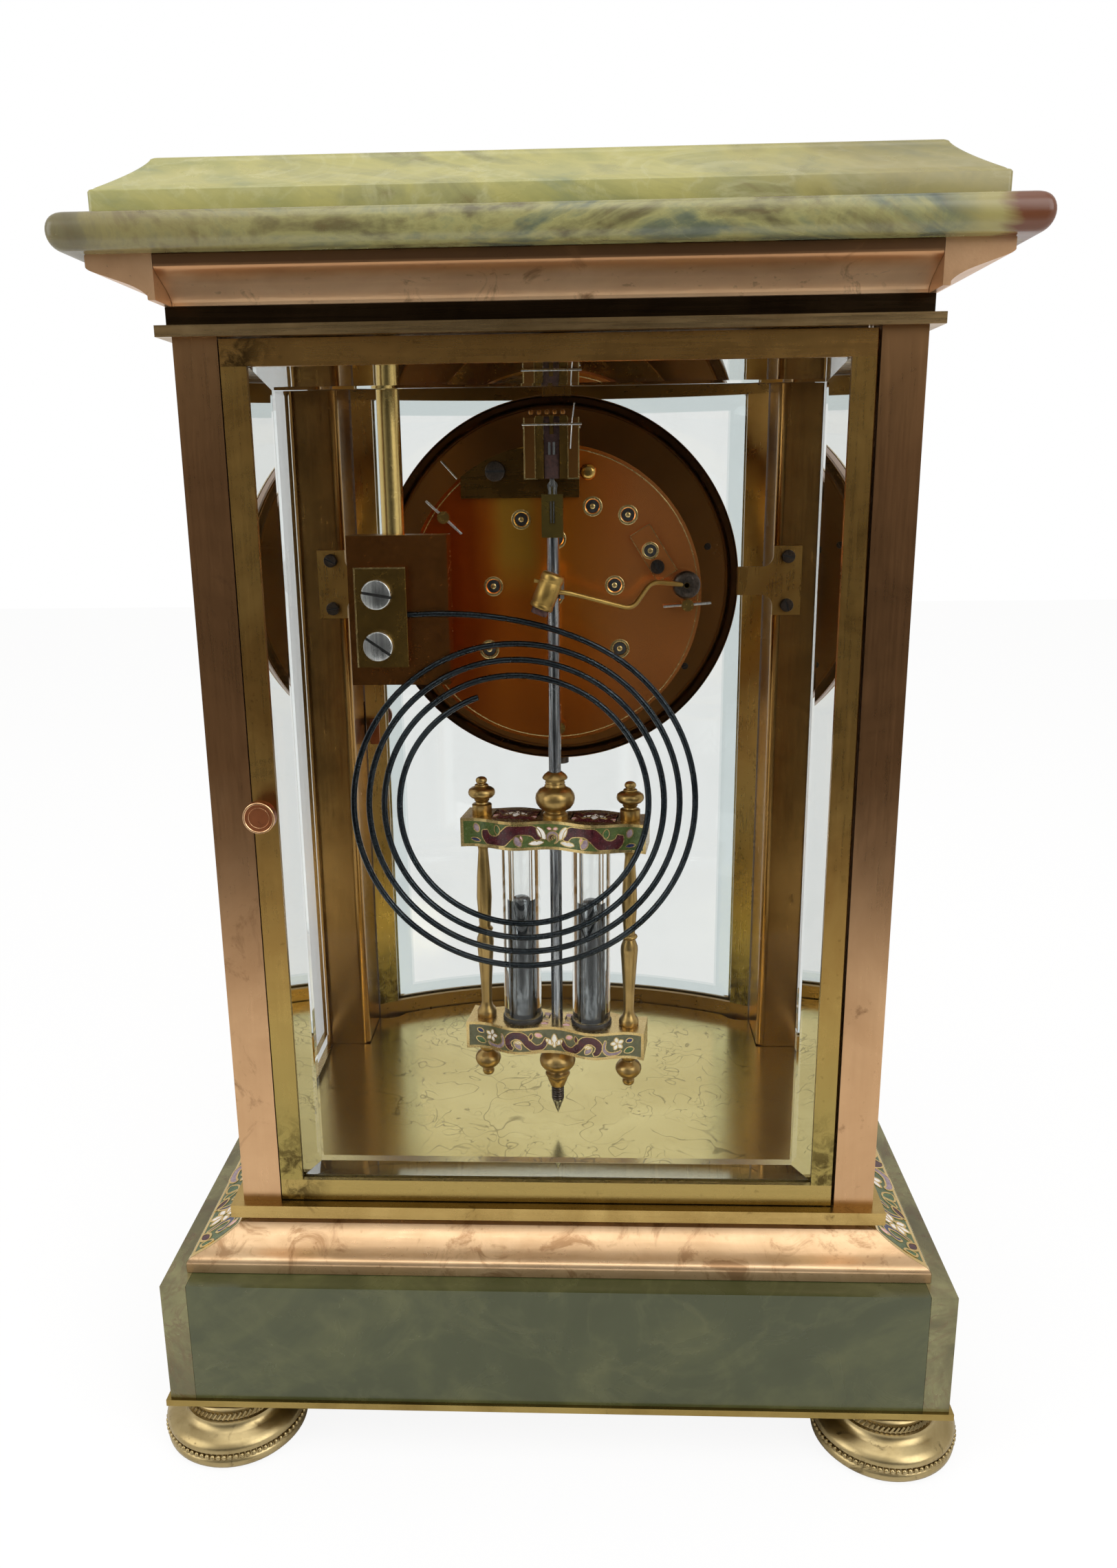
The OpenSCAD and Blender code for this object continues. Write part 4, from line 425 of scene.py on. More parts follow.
def top_frame_finish():
    """A brass lip below a nearly black frieze."""
    m = Mat("brass_lip_black_frieze")
    cloud = m.noise(30, 6, 0.62, 0.6)
    brush = m.noise(900, 3, 0.6, 0, ALONG_X)
    lip = m.tone(cloud, 0.34, 0.72, (188, 158, 112), (140, 112, 72))
    frieze = m.tone(cloud, 0.34, 0.72, (64, 48, 30), (34, 24, 14))
    m.bump(brush, 0.05)
    colour = m.mix(m.span(m.axis("Z"), 339.2 * MM, 339.5 * MM), lip, frieze)
    return m.finish(colour, brush, (0.2, 0.36), 1.0)


def rod_finish():
    """A steel rod under a brass hook."""
    m = Mat("rod_steel_brass_hook")
    line = m.noise(1500, 2, 0.6, 0, ALONG_Z)
    cloud = m.noise(60, 5, 0.6, 0.5)
    rod = m.tone(line, 0.38, 0.62, (160, 162, 164), (98, 100, 104))
    hook = m.tone(cloud, 0.38, 0.62, (176, 152, 84), (134, 112, 54))
    m.bump(line, 0.08)
    colour = m.mix(m.span(m.axis("Z"), 281.7 * MM, 281.9 * MM), rod, hook)
    return m.finish(colour, cloud, (0.16, 0.34), 1.0)


def floor_finish():
    """A polished brass floor with fine dark scratches."""
    m = Mat("brass_floor")
    cloud = m.noise(18, 6, 0.62, 0.6)
    colour = m.tone(cloud, 0.34, 0.72, (224, 207, 146), (206, 187, 124))
    for size, shift in ((60, (0, 0, 0)), (90, (3, 1, 0)), (140, (7, 5, 0))):
        line = m.math("ABSOLUTE", m.minus(m.noise(size, 1, 0.4, 1.2, shift=shift), 0.5))
        bare = m.ramp(m.noise(size * 0.5, 2, 0.5, shift=(shift[1], 9, 2)), (0.48, 0.0), (0.56, 0.6))
        colour = m.mix(m.times(m.ramp(line, (0.0, 1.0), (0.014, 0.0)), bare), colour, (112, 96, 52))
    colour = m.mix(m.span(m.axis("X"), 30 * MM, 75 * MM, 0.0, 0.35), colour, (150, 130, 74))
    m.bump(cloud, 0.01)
    return m.finish(colour, cloud, (0.16, 0.26), 1.0)


def back_plate_finish():
    """Polished orange brass with painted reflection: a golden highlight beside the middle, pinker at one side and
    dark at the other; darker towards the bottom.
    """
    m = Mat("copper_back_plate")
    cloud = m.noise(14, 3, 0.5, 0.8)
    colour = m.tone(cloud, 0.36, 0.66, (250, 146, 44), (232, 116, 30))
    # Painted reflection across X: pinker towards -X, dark towards +X, and a golden painted highlight patch beside the
    # middle.
    x = m.plus(m.axis("X"), m.span(cloud, 0.2, 0.8, -0.006, 0.006))
    for low, high, shade, most in ((-8, -26, (244, 156, 88), 0.8), (18, 27, (190, 80, 12), 1.0)):
        colour = m.mix(m.span(x, low * MM, high * MM, 0.0, most), colour, shade)
    glow = m.times(m.span(x, 1 * MM, 7 * MM), m.span(x, 21 * MM, 16 * MM))
    glow = m.times(glow, m.span(m.axis("Z"), 262 * MM, 276 * MM))
    colour = m.mix(m.times(glow, 0.85), colour, (240, 178, 62))
    # Darker towards the bottom.
    colour = m.mix(m.span(m.axis("Z"), 244 * MM, 224 * MM, 0.0, 0.6), colour, (176, 92, 32))
    m.bump(m.noise(500, 2, 0.5, 0, (1, 1, 0.1)), 0.004)
    return m.finish(colour, cloud, (0.16, 0.24), 0.9)


FRAME_TOP, ROD, FLOOR, BACK_PLATE = top_frame_finish(), rod_finish(), floor_finish(), back_plate_finish()
LEATHER = plain_fine("hammer_leather", (70, 36, 28), (36, 18, 14), (0.5, 0.75), 900)
GASKET = plain_fine("vial_seat_dark", (46, 42, 40), (22, 20, 20), (0.4, 0.6), 900)
DIAL = plain_fine("dial_enamel", (242, 238, 226), (234, 228, 212), (0.16, 0.26), 60, 0.0, 0.03)
INK = plain_fine("dial_ink", (26, 26, 30), (14, 14, 18), (0.3, 0.45), 700)
# Painted shade: screw slots and oil-sink bowls are floored in near black.
SLOT_SHADE = plain_fine("slot_painted_shade", (30, 28, 26), (14, 12, 12), (0.5, 0.7), 900)

CAP_STONE = onyx("onyx_cap", ((0.34, (122, 130, 98)), (0.45, (150, 148, 92)), (0.54, (166, 160, 98)),
                              (0.62, (142, 140, 92)), (0.7, (112, 96, 60))), (196, 192, 152), 0.35,
                 ((-20, -75, (104, 84, 50), 0.45),), 16, shift=(0.4, 0.2, 0))
SLAB_STONE = onyx("onyx_slab", ((0.36, (66, 74, 64)), (0.44, (98, 104, 82)), (0.51, (146, 142, 92)),
                                (0.58, (98, 92, 60)), (0.66, (84, 66, 38))), (96, 70, 38), 0.3,
                  ((40, 115, (112, 96, 60), 0.6), (-98, -108, (160, 148, 88), 0.75),
                   (-112, -117, (98, 52, 30), 0.97)), 17, shift=(1.3, 0, 0.7), wander=0.012)
PANEL_STONE = onyx("onyx_panel", ((0.3, (56, 60, 32)), (0.5, (62, 66, 38)), (0.66, (80, 82, 48)),
                                  (0.78, (60, 64, 36))), (100, 100, 64), 0.3, None, 9, shift=(2.2, 0, 0.3),
                   stretch=(0.9, 1, 1))
SIDE_STONE = onyx("onyx_sides", ((0.3, (80, 76, 48)), (0.46, (98, 92, 58)), (0.6, (122, 118, 78)),
                                 (0.74, (86, 82, 52))), (88, 54, 34), 0.6, None, 26, shift=(4.1, 0.6, 0.2),
                  stretch=(1, 0.6, 1))

MAROON = enamel("enamel_maroon", (72, 22, 28), (42, 12, 18))
GREEN = enamel("enamel_green", (78, 92, 44), (54, 68, 32))
OLIVE = enamel("enamel_olive", (92, 90, 58), (70, 68, 42))
DEEP_GREEN = enamel("enamel_deep_green", (74, 100, 52), (48, 70, 36))
WHITE = enamel("enamel_white", (236, 230, 222), (214, 204, 198))
LILAC = enamel("enamel_lilac", (158, 138, 146), (118, 98, 108))
PINK = enamel("enamel_pink", (222, 176, 178), (200, 146, 152))
NAVY = enamel("enamel_navy", (38, 46, 92), (22, 26, 58))

NODE_FINISH = {
    "feet": FOOT, "base_plate": BASE_BRASS, "base_panel_rear": PANEL_STONE, "base_panel_sides": SIDE_STONE,
    "base_panel_front": PANEL_STONE, "base_moulding": COPPER_SIDE, "base_moulding_rear": COPPER,
    "case_bottom_frame": FRAME_LOW, "floor_plate": FLOOR, "rear_posts": POST, "front_posts": FRONT_POST,
    "side_glasses": GLASS, "rear_door_stiles": STILE, "rear_door_rails": RAIL, "rear_door_glass": REAR_GLASS,
    "rear_door_knob": KNOB, "front_door_stiles": STILE, "front_door_rails": FRONT_RAIL, "front_door_glass": GLASS,
    "front_door_knob": KNOB, "door_pins": STEEL, "case_top_frame": FRAME_TOP, "cornice": COPPER_SIDE,
    "cornice_rear": REAR_CORNICE_PAINTED_LIGHT, "top_slab": SLAB_STONE, "top_cap": CAP_STONE, "case_screws": DARK_SCREW,
    "movement_ring": RING, "ring_brackets": STILE, "back_plate": BACK_PLATE, "front_plate": BRASS,
    "plate_pillars": BRASS, "taper_pins": STEEL, "dial": DIAL, "bezel": GILT, "minute_hand": BLUE,
    "hour_hand": BLUE, "crutch": STEEL, "hammer": BRASS, "suspension_bracket": COCK,
    "suspension_spring": STEEL, "pendulum_rod": ROD, "pendulum_plates": GILT, "pendulum_columns": TURNED,
    "mercury_vials": VIAL, "mercury": MERCURY, "rating_nut": TURNED, "gong_block": BLOCK, "gong_coil": BLUE,
}
UNBEVELLED = ("rear_door_glass", "front_door_glass", "side_glasses", "mercury_vials", "mercury", "gong_coil")

for name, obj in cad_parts.items():
    obj.data.materials.clear()
    obj.data.materials.append(NODE_FINISH.get(name, BRASS))
    if name in UNBEVELLED:
        obj.visible_shadow = name in ("mercury", "gong_coil")
        continue
    edge = obj.modifiers.new("worn_edges", "BEVEL")
    edge.width = 0.3 * MM
    edge.segments = 2
    edge.limit_method = "ANGLE"
    edge.angle_limit = radians(40)
    edge.harden_normals = False


# ---- mesh helpers: every shape is (points, faces) in millimetres ----

def joined(*shapes):
    points, faces = [], []
    for p, f in shapes:
        faces += [tuple(i + len(points) for i in face) for face in f]
        points += p
    return points, faces


def moved(shape, matrix):
    return [tuple(matrix @ Vector(p)) for p in shape[0]], shape[1]


def loft(rings, around=True, capped=True):
    """Joins rings of equal length; closed rings get end faces."""
    n = len(rings[0])
    points = [tuple(p) for ring in rings for p in ring]
    faces = []
    for i in range(len(rings) - 1):
        for j in range(n if around else n - 1):
            k = (j + 1) % n
            faces.append((i * n + j, i * n + k, (i + 1) * n + k, (i + 1) * n + j))
    if capped:
        faces.append(tuple(range(n - 1, -1, -1)))
        faces.append(tuple((len(rings) - 1) * n + j for j in range(n)))
    return points, faces


def circle(count):
    return [2 * pi * i / count for i in range(count)]


def hoop(rings):
    """Joins rings of equal length into a closed loop."""
    points, faces = loft(rings, capped=False)
    n, last = len(rings[0]), len(rings) - 1
    return points, faces + [(last * n + j, last * n + (j + 1) % n, (j + 1) % n, j) for j in range(n)]


def lathe(profile, sides=36):
    """Turns [radius, height] pairs about Z, first and last closed by a face."""
    return loft([[(r * cos(a), r * sin(a), h) for a in circle(sides)] for r, h in profile])


def turned(outline, sides=48):
    """Turns a closed outline of [radius, height] pairs about Z."""
    return hoop([[(r * cos(a), r * sin(a), z) for r, z in outline] for a in circle(sides)])


def tube(path, radius, sides=10):
    """A round wire along a path, with its section carried along without twist."""
    path = [Vector(p) for p in path]
    rings, side = [], None
    for i, p in enumerate(path):
        ahead = (path[min(i + 1, len(path) - 1)] - path[max(i - 1, 0)]).normalized()
        if side is None:
            side = ahead.orthogonal().normalized()
        side = (side - ahead * side.dot(ahead)).normalized()
        up = ahead.cross(side)
        rings.append([p + radius * (cos(a) * side + sin(a) * up) for a in circle(sides)])
    return loft(rings)


def rounded_path(points, radius, steps=6):
    """A polyline whose corners are turned on short curves."""
    pts = [Vector(p) for p in points]
    out = [pts[0]]
    for a, b, c in zip(pts, pts[1:], pts[2:]):
        r = min(radius, (a - b).length * 0.45, (c - b).length * 0.45)
        p, q = b + (a - b).normalized() * r, b + (c - b).normalized() * r
        for i in range(steps + 1):
            t = i / steps
            out.append((1 - t) ** 2 * p + 2 * t * (1 - t) * b + t * t * q)
    return out + [pts[-1]]


def axis_to(direction, at, spin=0.0):
    """A matrix that stands a shape turned about Z along a direction at a place."""
    turn = Vector(direction).to_track_quat("Z", "Y").to_matrix().to_4x4()
    return Matrix.Translation(Vector(at)) @ turn @ Matrix.Rotation(spin, 4, "Z")


def rearward(x, y, z):
    return axis_to((0, 1, 0), (x, y, z))


def piece(name, shape, material, body="case", replaces=(), sharp=38):
    """Makes a piece from a shape or a list of shapes, riding on a body."""
    points, faces = joined(*shape) if isinstance(shape, list) else shape
    mesh = bpy.data.meshes.new(name)
    mesh.from_pydata([Vector(p) * MM for p in points], [], faces)
    mesh.validate()
    for poly in mesh.polygons:
        poly.use_smooth = True
    mesh.set_sharp_from_angle(angle=radians(sharp))
    mesh.materials.append(material)
    obj = linked(name, mesh)
    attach(obj, body)
    if replaces:
        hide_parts(*replaces)
    return obj


# ---- top and base mouldings ----

def curve(points):
    """A smooth path through points, as a function of 0 to 1."""
    n = len(points) - 1

    def at(t):
        k = min(int(t * n), n - 1)
        u = t * n - k
        four = [points[max(min(k + d, n), 0)] for d in (-1, 0, 1, 2)]
        return tuple(0.5 * (2 * b + (c - a) * u + (2 * a - 5 * b + 4 * c - d) * u * u
                            + (3 * b - a - 3 * c + d) * u ** 3) for a, b, c, d in zip(*four))
    return at


def bend_corner(corner, a, b, reach, steps=5):
    c, p, q = Vector(corner), Vector(corner) + Vector(a) * reach, Vector(corner) + Vector(b) * reach
    return [tuple((1 - t) ** 2 * p + 2 * t * (1 - t) * c + t * t * q) for t in (i / steps for i in range(steps + 1))]


def plan_open(out, rear, reach=0.0, count=44):
    """The clock's outline from its +X rear end along the side, the bow and the other side."""
    half, r = HALF_W + out, BOW_R + out
    a0 = asin(half / r)
    corner = (half, BOW_Y - r * cos(a0))
    along = (-cos(a0), -sin(a0))
    right = [(half, rear + (corner[1] - rear) * i / 24) for i in range(24)]
    right[-1] = (half, corner[1] + max(reach, 0.5) + 0.5)
    right += bend_corner(corner, (0, 1), along, reach) if reach else [corner]
    stop = a0 - reach / r
    bow = [(r * sin(a), BOW_Y - r * cos(a)) for a in
           (stop - 2 * stop * i / count for i in range(1, count // 2 + 1))]
    left = [(-x, y) for x, y in reversed(right + bow[:-1])]
    return right + bow + left


def plan_closed(out, reach):
    rear = REAR_Y + out - SETBACK
    ring = plan_open(out, rear - reach - 0.5, reach)
    half = HALF_W + out
    start = bend_corner((half, rear), (-1, 0), (0, -1), reach)
    end = bend_corner((-half, rear), (0, -1), (1, 0), reach)
    return start + ring + end


def rear_out(out, most):
    """How far a rear length stands out where its side lengths stand out by this much."""
    return out * (1 - SETBACK / most)


def tier(profile, reach):
    return loft([[(x, y, z) for x, y in plan_closed(out, reach)] for out, z in profile])


def side_run(profile, mitred):
    most = max(p[0] for p in profile)
    paths = [[(x, y, z) for x, y in plan_open(out, REAR_Y + rear_out(out if mitred else most, most))]
             for out, z in profile]
    return loft([list(ring) for ring in zip(*paths)])


def rear_run(profile, mitred, fit=0.1):
    inner, most = min(p[0] for p in profile), max(p[0] for p in profile)
    return loft([[(s * (HALF_W + (out if mitred else inner) - fit), REAR_Y + rear_out(out, most), z)
                  for out, z in profile] for s in (1 - 2 * i / 40 for i in range(41))])


CORNICE_SWEEP = [(0, 0), (0.06, 0.12), (0.152, 0.25), (0.308, 0.41), (0.58, 0.62), (0.848, 0.82), (0.95, 0.91),
                 (1, 1)]
OGEE_SWEEP = [(15.7, 7.3), (15.5, 6.7), (14.9, 6.0), (13.6, 5.5), (11.6, 5.05), (9.6, 4.5), (7.4, 3.6), (5.2, 2.55),
              (3.2, 1.35), (1.5, 0)]
SLAB = [(23.2 - 3.15 * (1 - cos(u)), Z_SLAB + 4.5 * (1 + sin(u)))
        for u in (radians(-90 + 180 * i / 16) for i in range(17))]
CAP = [(14.0, Z_CAP), (14.6, Z_CAP + 0.6), (14.6, Z_CAP + 5.7), (14.3, Z_CAP + 6.2), (13.6, Z_CAP + 6.5)]
CAP += [(13.2 - 11.0 * (1 - (1 - u) ** 1.25), Z_CAP + 6.9 + 8.9 * u) for u in (i / 14 for i in range(15))]
CAP += [(1.6, Z_TOP - 0.15), (0.9, Z_TOP - 0.01)]
CORNICE = [(-1.0, Z_CORNICE), (0.7, Z_CORNICE), (0.9, Z_CORNICE + 0.2)]
CORNICE += [(0.9 + 15.2 * out, Z_CORNICE + 1 + 6.9 * up)
            for out, up in (curve(CORNICE_SWEEP)(i / 24) for i in range(25))]
CORNICE += [(16.1, Z_SLAB - 0.3), (15.8, Z_SLAB), (-1.0, Z_SLAB)]
OGEE = [(out, Z_MOULD + 10.6 - drop) for out, drop in (curve(OGEE_SWEEP)(i / 30) for i in range(31))]
BASE = [(-4.0, Z_MOULD), (15.4, Z_MOULD), (15.7, Z_MOULD + 0.3), (15.7, Z_MOULD + 3.0)] + OGEE + [(-4.0, 71.0)]

piece("slab_moulded", tier(SLAB, 2.6), SLAB_STONE, replaces=["top_slab"])
piece("cap_moulded", tier(CAP, 1.2), CAP_STONE, replaces=["top_cap"])
piece("cornice_moulded", side_run(CORNICE, False), COPPER_SIDE, replaces=["cornice"])
piece("cornice_rear_moulded", rear_run(CORNICE, False), REAR_CORNICE_PAINTED_LIGHT, replaces=["cornice_rear"])
piece("base_ogee", side_run(BASE, True), GILT, replaces=["base_moulding"])
piece("base_ogee_rear", rear_run(BASE, True), COPPER, replaces=["base_moulding_rear"])


# ---- bowed front glass ----

def bowed_glass(half, low, high, radius, thick, bevel, drop):
    """A bowed pane with a bevel along its edges on the inner face."""
    turn = asin(half / radius)
    cut = bevel / radius
    angles = [-turn] + [-turn + cut + 2 * (turn - cut) * i / 30 for i in range(31)] + [turn]
    heights = [low, low + bevel, high - bevel, high]
    points, faces = [], []
    for inner in (True, False):
        for i, a in enumerate(angles):
            for j, z in enumerate(heights):
                edge = i in (0, len(angles) - 1) or j in (0, 3)
                r = radius - thick / 2 + (drop if edge else 0) if inner else radius + thick / 2
                points.append((r * sin(a), BOW_Y - r * cos(a), z))
    n, half_count = 4, 4 * len(angles)
    last = len(angles) - 2
    for i in range(last + 1):
        for j in range(3):
            a, b, c, d = i * n + j, (i + 1) * n + j, (i + 1) * n + j + 1, i * n + j + 1
            if (i, j) in ((0, 0), (last, 2)):
                faces += [(a, c, b), (a, d, c)]
            elif (i, j) in ((0, 2), (last, 0)):
                faces += [(d, c, b), (a, d, b)]
            else:
                faces.append((a, d, c, b))
            faces.append(tuple(half_count + k for k in (a, b, c, d)))
    rim = [i * n for i in range(len(angles))] + [(last + 1) * n + j for j in (1, 2, 3)]
    rim += [i * n + 3 for i in range(last, -1, -1)] + [2, 1]
    for k, q in zip(rim, rim[1:] + rim[:1]):
        faces.append((k, q, half_count + q, half_count + k))
    return points, faces


pane = piece("front_glass_bevelled", bowed_glass(71.4, 83.6, 330.9, 162.5, 3.5, 7.5, 1.5), FRONT_GLASS, "front_door",
             ["front_door_glass"], 4)
pane.visible_shadow = False


# ---- gong and hammer ----

def gong_point(a):
    """A point of the spiral at an angle in degrees; its start runs out to the block."""
    r = GONG_R - GONG_STEP * (a - 96) / 360
    if a < GONG_FROM + 58:
        r += 11.16 * (1 - (a - GONG_FROM) / 58) ** 2.6
    x, y, z = GONG_AT
    return Vector((x + r * cos(radians(a)), y, z + r * sin(radians(a))))


GONG_PATH = [Vector((x, GONG_AT[1], 260.4)) for x in (44.5, 43)]
GONG_PATH += [gong_point(GONG_FROM + (GONG_TO - GONG_FROM) * i / 420) for i in range(421)]
piece("gong_wire", tube(GONG_PATH, 0.95, 12), BLUE, replaces=["gong_coil"])

HEAD = Vector((1.2, GONG_AT[1], 267.0))
HEAD_UP = Vector((-sin(radians(22)), 0, cos(radians(22))))
HAMMER_X, HAMMER_Z = -41.5, 266.8
route = [(HAMMER_X, 28.5, HAMMER_Z), (-30.2, 34.5, 268.4), (-24.1, 42.5, 260.9), (-4.5, GONG_AT[1], 266.6),
         tuple(HEAD)]
to_rear = rearward(HAMMER_X, 0, HAMMER_Z)
arbor = moved(lathe([(0.5, -15.6), (0.9, -15.2), (0.9, 30.0)], 20), to_rear)
collet = moved(lathe([(2.2, 26.6), (3.6, 26.7), (4.2, 27.1), (4.4, 27.8), (4.3, 28.7), (3.7, 29.4), (2.4, 29.8),
                      (0.8, 30.0)], 36), to_rear)
piece("hammer_arm", [tube(rounded_path(route, 3.2), 0.8, 12), arbor], DULL_BRASS, "hammer", ["hammer"])
piece("hammer_collet", collet, DARK_SCREW, "hammer")
head = [(2.4, -5.5), (3.3, -5.4), (3.5, -5.1), (3.5, -4.2), (3.35, -4.0), (3.35, -3.6), (3.5, -3.4), (3.5, 2.6),
        (3.35, 2.8), (3.35, 3.1), (3.5, 3.3), (3.5, 4.6), (3.3, 5.2), (2.9, 5.5), (2.2, 5.5)]
head_pin = tube([HEAD + 2.8 * HEAD_UP + Vector((2.0, 0, 0)), HEAD + 3.4 * HEAD_UP + Vector((5.2, 0, 0))], 0.6, 12)
piece("hammer_head", [moved(lathe(head, 40), axis_to(HEAD_UP, HEAD)), head_pin], DULL_BRASS, "hammer")
plug = [[(s * copysign(abs(cos(a)) ** 0.4, cos(a)), s * copysign(abs(sin(a)) ** 0.4, sin(a)), z) for a in circle(24)]
        for s, z in ((2.0, -7.35), (2.4, -7.2), (2.5, -6.8), (2.5, -5.6), (2.3, -5.3))]
piece("hammer_leather", moved(loft(plug), axis_to(HEAD_UP, HEAD)), LEATHER, "hammer")


# ---- feet ----

FOOT_PROFILE = [(19.6, 0), (21.4, 0.5), (22.3, 1.5), (22.5, 2.6), (22.2, 3.6), (21.7, 4.0), (21.6, 5.0), (21.7, 6.0),
                (22.3, 6.3), (22.4, 7.2), (21.8, 8.2), (20.2, 9.3), (18.2, 10.0), (16.9, 10.8), (16.3, 11.8),
                (16.2, 12.4), (15.3, 12.7), (15.2, 13.2), (15.2, 15.0), (15.6, 15.5), (15.7, 16.4), (15.2, 17.0),
                (14.4, 17.2), (14.4, 17.7)]
FEET = [(sx * 104.8, y) for sx in (-1, 1) for y in (79.6, -52.5)]


def bead(centre, r):
    shape = lathe([(r * cos(radians(a)), r * sin(radians(a))) for a in (-84, -50, -17, 17, 50, 84)], 8)
    return moved(shape, Matrix.Translation(Vector(centre)))


def foot_beads(x, y, count=76, ring=22.1, r=0.86):
    return joined(*[bead((x + ring * cos(a), y + ring * sin(a), 5.0), r) for a in circle(count)])


def foot_rope(x, y, count=64, ring=15.45, rise=2.0, twist=0.09):
    strands = []
    for a in circle(count):
        path = [(x + ring * cos(a + twist * t), y + ring * sin(a + twist * t), 14.1 + rise * (t - 0.5) * 0.95)
                for t in (0.0, 0.33, 0.67, 1.0)]
        strands.append(tube(path, 0.52, 6))
    return joined(*strands)


piece("feet_turned", [moved(lathe(FOOT_PROFILE, 64), Matrix.Translation((x, y, 0))) for x, y in FEET], FOOT,
      replaces=["feet"])
piece("feet_beads", [foot_beads(x, y) for x, y in FEET], FOOT)
piece("feet_rope", [foot_rope(x, y) for x, y in FEET], FOOT)


# ---- screws ----

def slotted_head(r, height, slot, turn):
    """A round head as two halves with a slot between them, its underside at 0 and its axis along Z."""
    halves = []
    for side in (0, pi):
        ring = [(r * cos(a), r * sin(a)) for a in (acos(slot / r) * (1 - 2 * i / 16) for i in range(17))]
        rows = [[(max(x * share, slot), y * share, h) for x, y in ring]
                for share, h in ((1.0, 0.0), (1.0, height - 0.35), (0.965, height - 0.12), (0.9, height))]
        halves.append(moved(loft(rows), Matrix.Rotation(side + turn, 4, "Z")))
    return joined(*halves)


def screw_group(name, screws, r, lift, sink, slot, material):
    """Slotted heads over the plain CAD heads; places are X, Y of the CAD head's outer face, Z, turn."""
    heads, floors = [], []
    for x, y, z, turn in screws:
        stand = rearward(x, y - sink, z)
        heads.append(moved(slotted_head(r, lift + sink, slot, radians(turn)), stand))
        # A near-black floor under each slot is painted shade.
        floors.append(moved(lathe([(r * 0.97, 0.0), (r * 0.97, sink + 0.03)], 32), stand))
    piece(name, heads, material)
    piece(name + "_slots", floors, SLOT_SHADE)


screw_group("gong_screws", [(51.5, REAR_Y - 20.85, 266.8, 80), (51.5, REAR_Y - 20.85, 251.6, 55)], 4.45, 0.75, 2.5,
            0.42, STEEL)
screw_group("bracket_screws", [(s * 82.1, REAR_Y - 101.9, Z_DIAL + d, t) for s, d, t in
            ((-1, -8.6, 20), (-1, 8.6, 75), (1, -8.6, 100), (1, 8.6, 60))], 2.35, 0.4, 1.5, 0.28, DARK_SCREW)
screw_group("cock_screw", [(17.7, REAR_Y - 47.5, 301.8, 90)], 3.15, 0.45, 1.7, 0.34, DARK_SCREW)
screw_group("pin_cock_screw", [(-32.6, REAR_Y - 49.5, 272.2, 30)], 2.25, 0.4, 1.1, 0.26, DARK_SCREW)


# ---- back plate details ----

def ring_y(x, y, z, r_in, r_out, height, sides=48):
    """A raised ring on a face that looks along +Y."""
    ease = (r_out - r_in) * 0.25
    prof = [(r_in, -0.05), (r_in, height * 0.7), (r_in + ease, height), (r_out - ease, height),
            (r_out, height * 0.7), (r_out, -0.05)]
    return hoop([[(x + r * cos(a), y + h, z + r * sin(a)) for r, h in prof] for a in circle(sides)])


SINKS = [(19.3, 3.2), (-0.9, 17.8), (10.1, 23.9), (-19.3, 3.2), (-23.4, 25), (-12.3, 27.7), (0, 0), (21, -17),
         (-21, -17), (-41.5, 3.6)]
piece("plate_sinks", [ring_y(x, PLATE_Y, Z_DIAL + z, 2.3, 3.1, 0.26, 32) for x, z in SINKS], GILT)
bowls, dots = [], []
for x, z in SINKS:
    stand = rearward(x, PLATE_Y, Z_DIAL + z)
    bowls.append(moved(lathe([(2.0, -0.6), (2.0, -0.3), (1.9, -0.26)], 28), stand))
    dots.append(moved(lathe([(0.85, -0.5), (0.85, -0.12), (0.6, 0.02), (0.2, 0.08)], 20), stand))
# The sink bowls are painted shade in near black.
piece("plate_sink_bowls", bowls, SLOT_SHADE)
piece("plate_sink_pivots", dots, GILT)
dome = [(2.3, 1.4), (2.5, 1.7), (2.4, 2.2), (1.9, 2.7), (1.2, 2.9), (0.5, 2.95)]
piece("plate_stud_dome", moved(lathe(dome, 32), rearward(-10.9, PLATE_Y, Z_DIAL + 38.2)), BRASS)
cock_turn = Matrix.Translation((-31.4, PLATE_Y + 1.6, Z_DIAL + 13.2)) @ Matrix.Rotation(radians(-58), 4, "Y")
cock_edges = [((-8.5, 8.5), (3.45, 3.7)), ((-8.5, 8.5), (-3.7, -3.45)), ((8.25, 8.5), (-3.7, 3.7)),
              ((-8.5, -8.25), (-3.7, 3.7))]
strips = [loft([[(x0, y, z0), (x1, y, z0), (x1, y, z1), (x0, y, z1)] for y in (-0.1, 0.12)])
          for (x0, x1), (z0, z1) in cock_edges]
piece("pin_cock_edges", moved(joined(*strips), cock_turn), GILT)
piece("plate_edge_line", ring_y(0, PLATE_Y, Z_DIAL, 45.5, 45.8, 0.1, 160), GILT)

piece("ring_rim", ring_y(0, RING_Y, Z_DIAL, 61.4, 64.75, 2.2, 180), RING_RIM)
piece("ring_steps", [ring_y(0, RING_Y, Z_DIAL, *step, 180) for step in ((60.3, 61.3, 0.5), (64.3, 64.75, 2.3))],
      RING)
screw_group("ring_screws", [(-53.7, RING_Y, 275.4, 40), (-46.3, RING_Y, 232.3, 110), (46.3, RING_Y, 232.3, 70)], 1.25,
            0.3, 0.5, 0.2, DARK_SCREW)
piece("ring_pin", tube([(41.2, RING_Y + 0.4, 306.1), (35.6, RING_Y + 0.4, 299.9)], 0.42, 12), STEEL)
PIN_COCK = (-30.4, PLATE_Y + 1.6, Z_DIAL + 14)
stand = rearward(*PIN_COCK)
piece("pin_cock_sink", ring_y(*PIN_COCK, 2.0, 2.7, 0.24, 32), GILT)
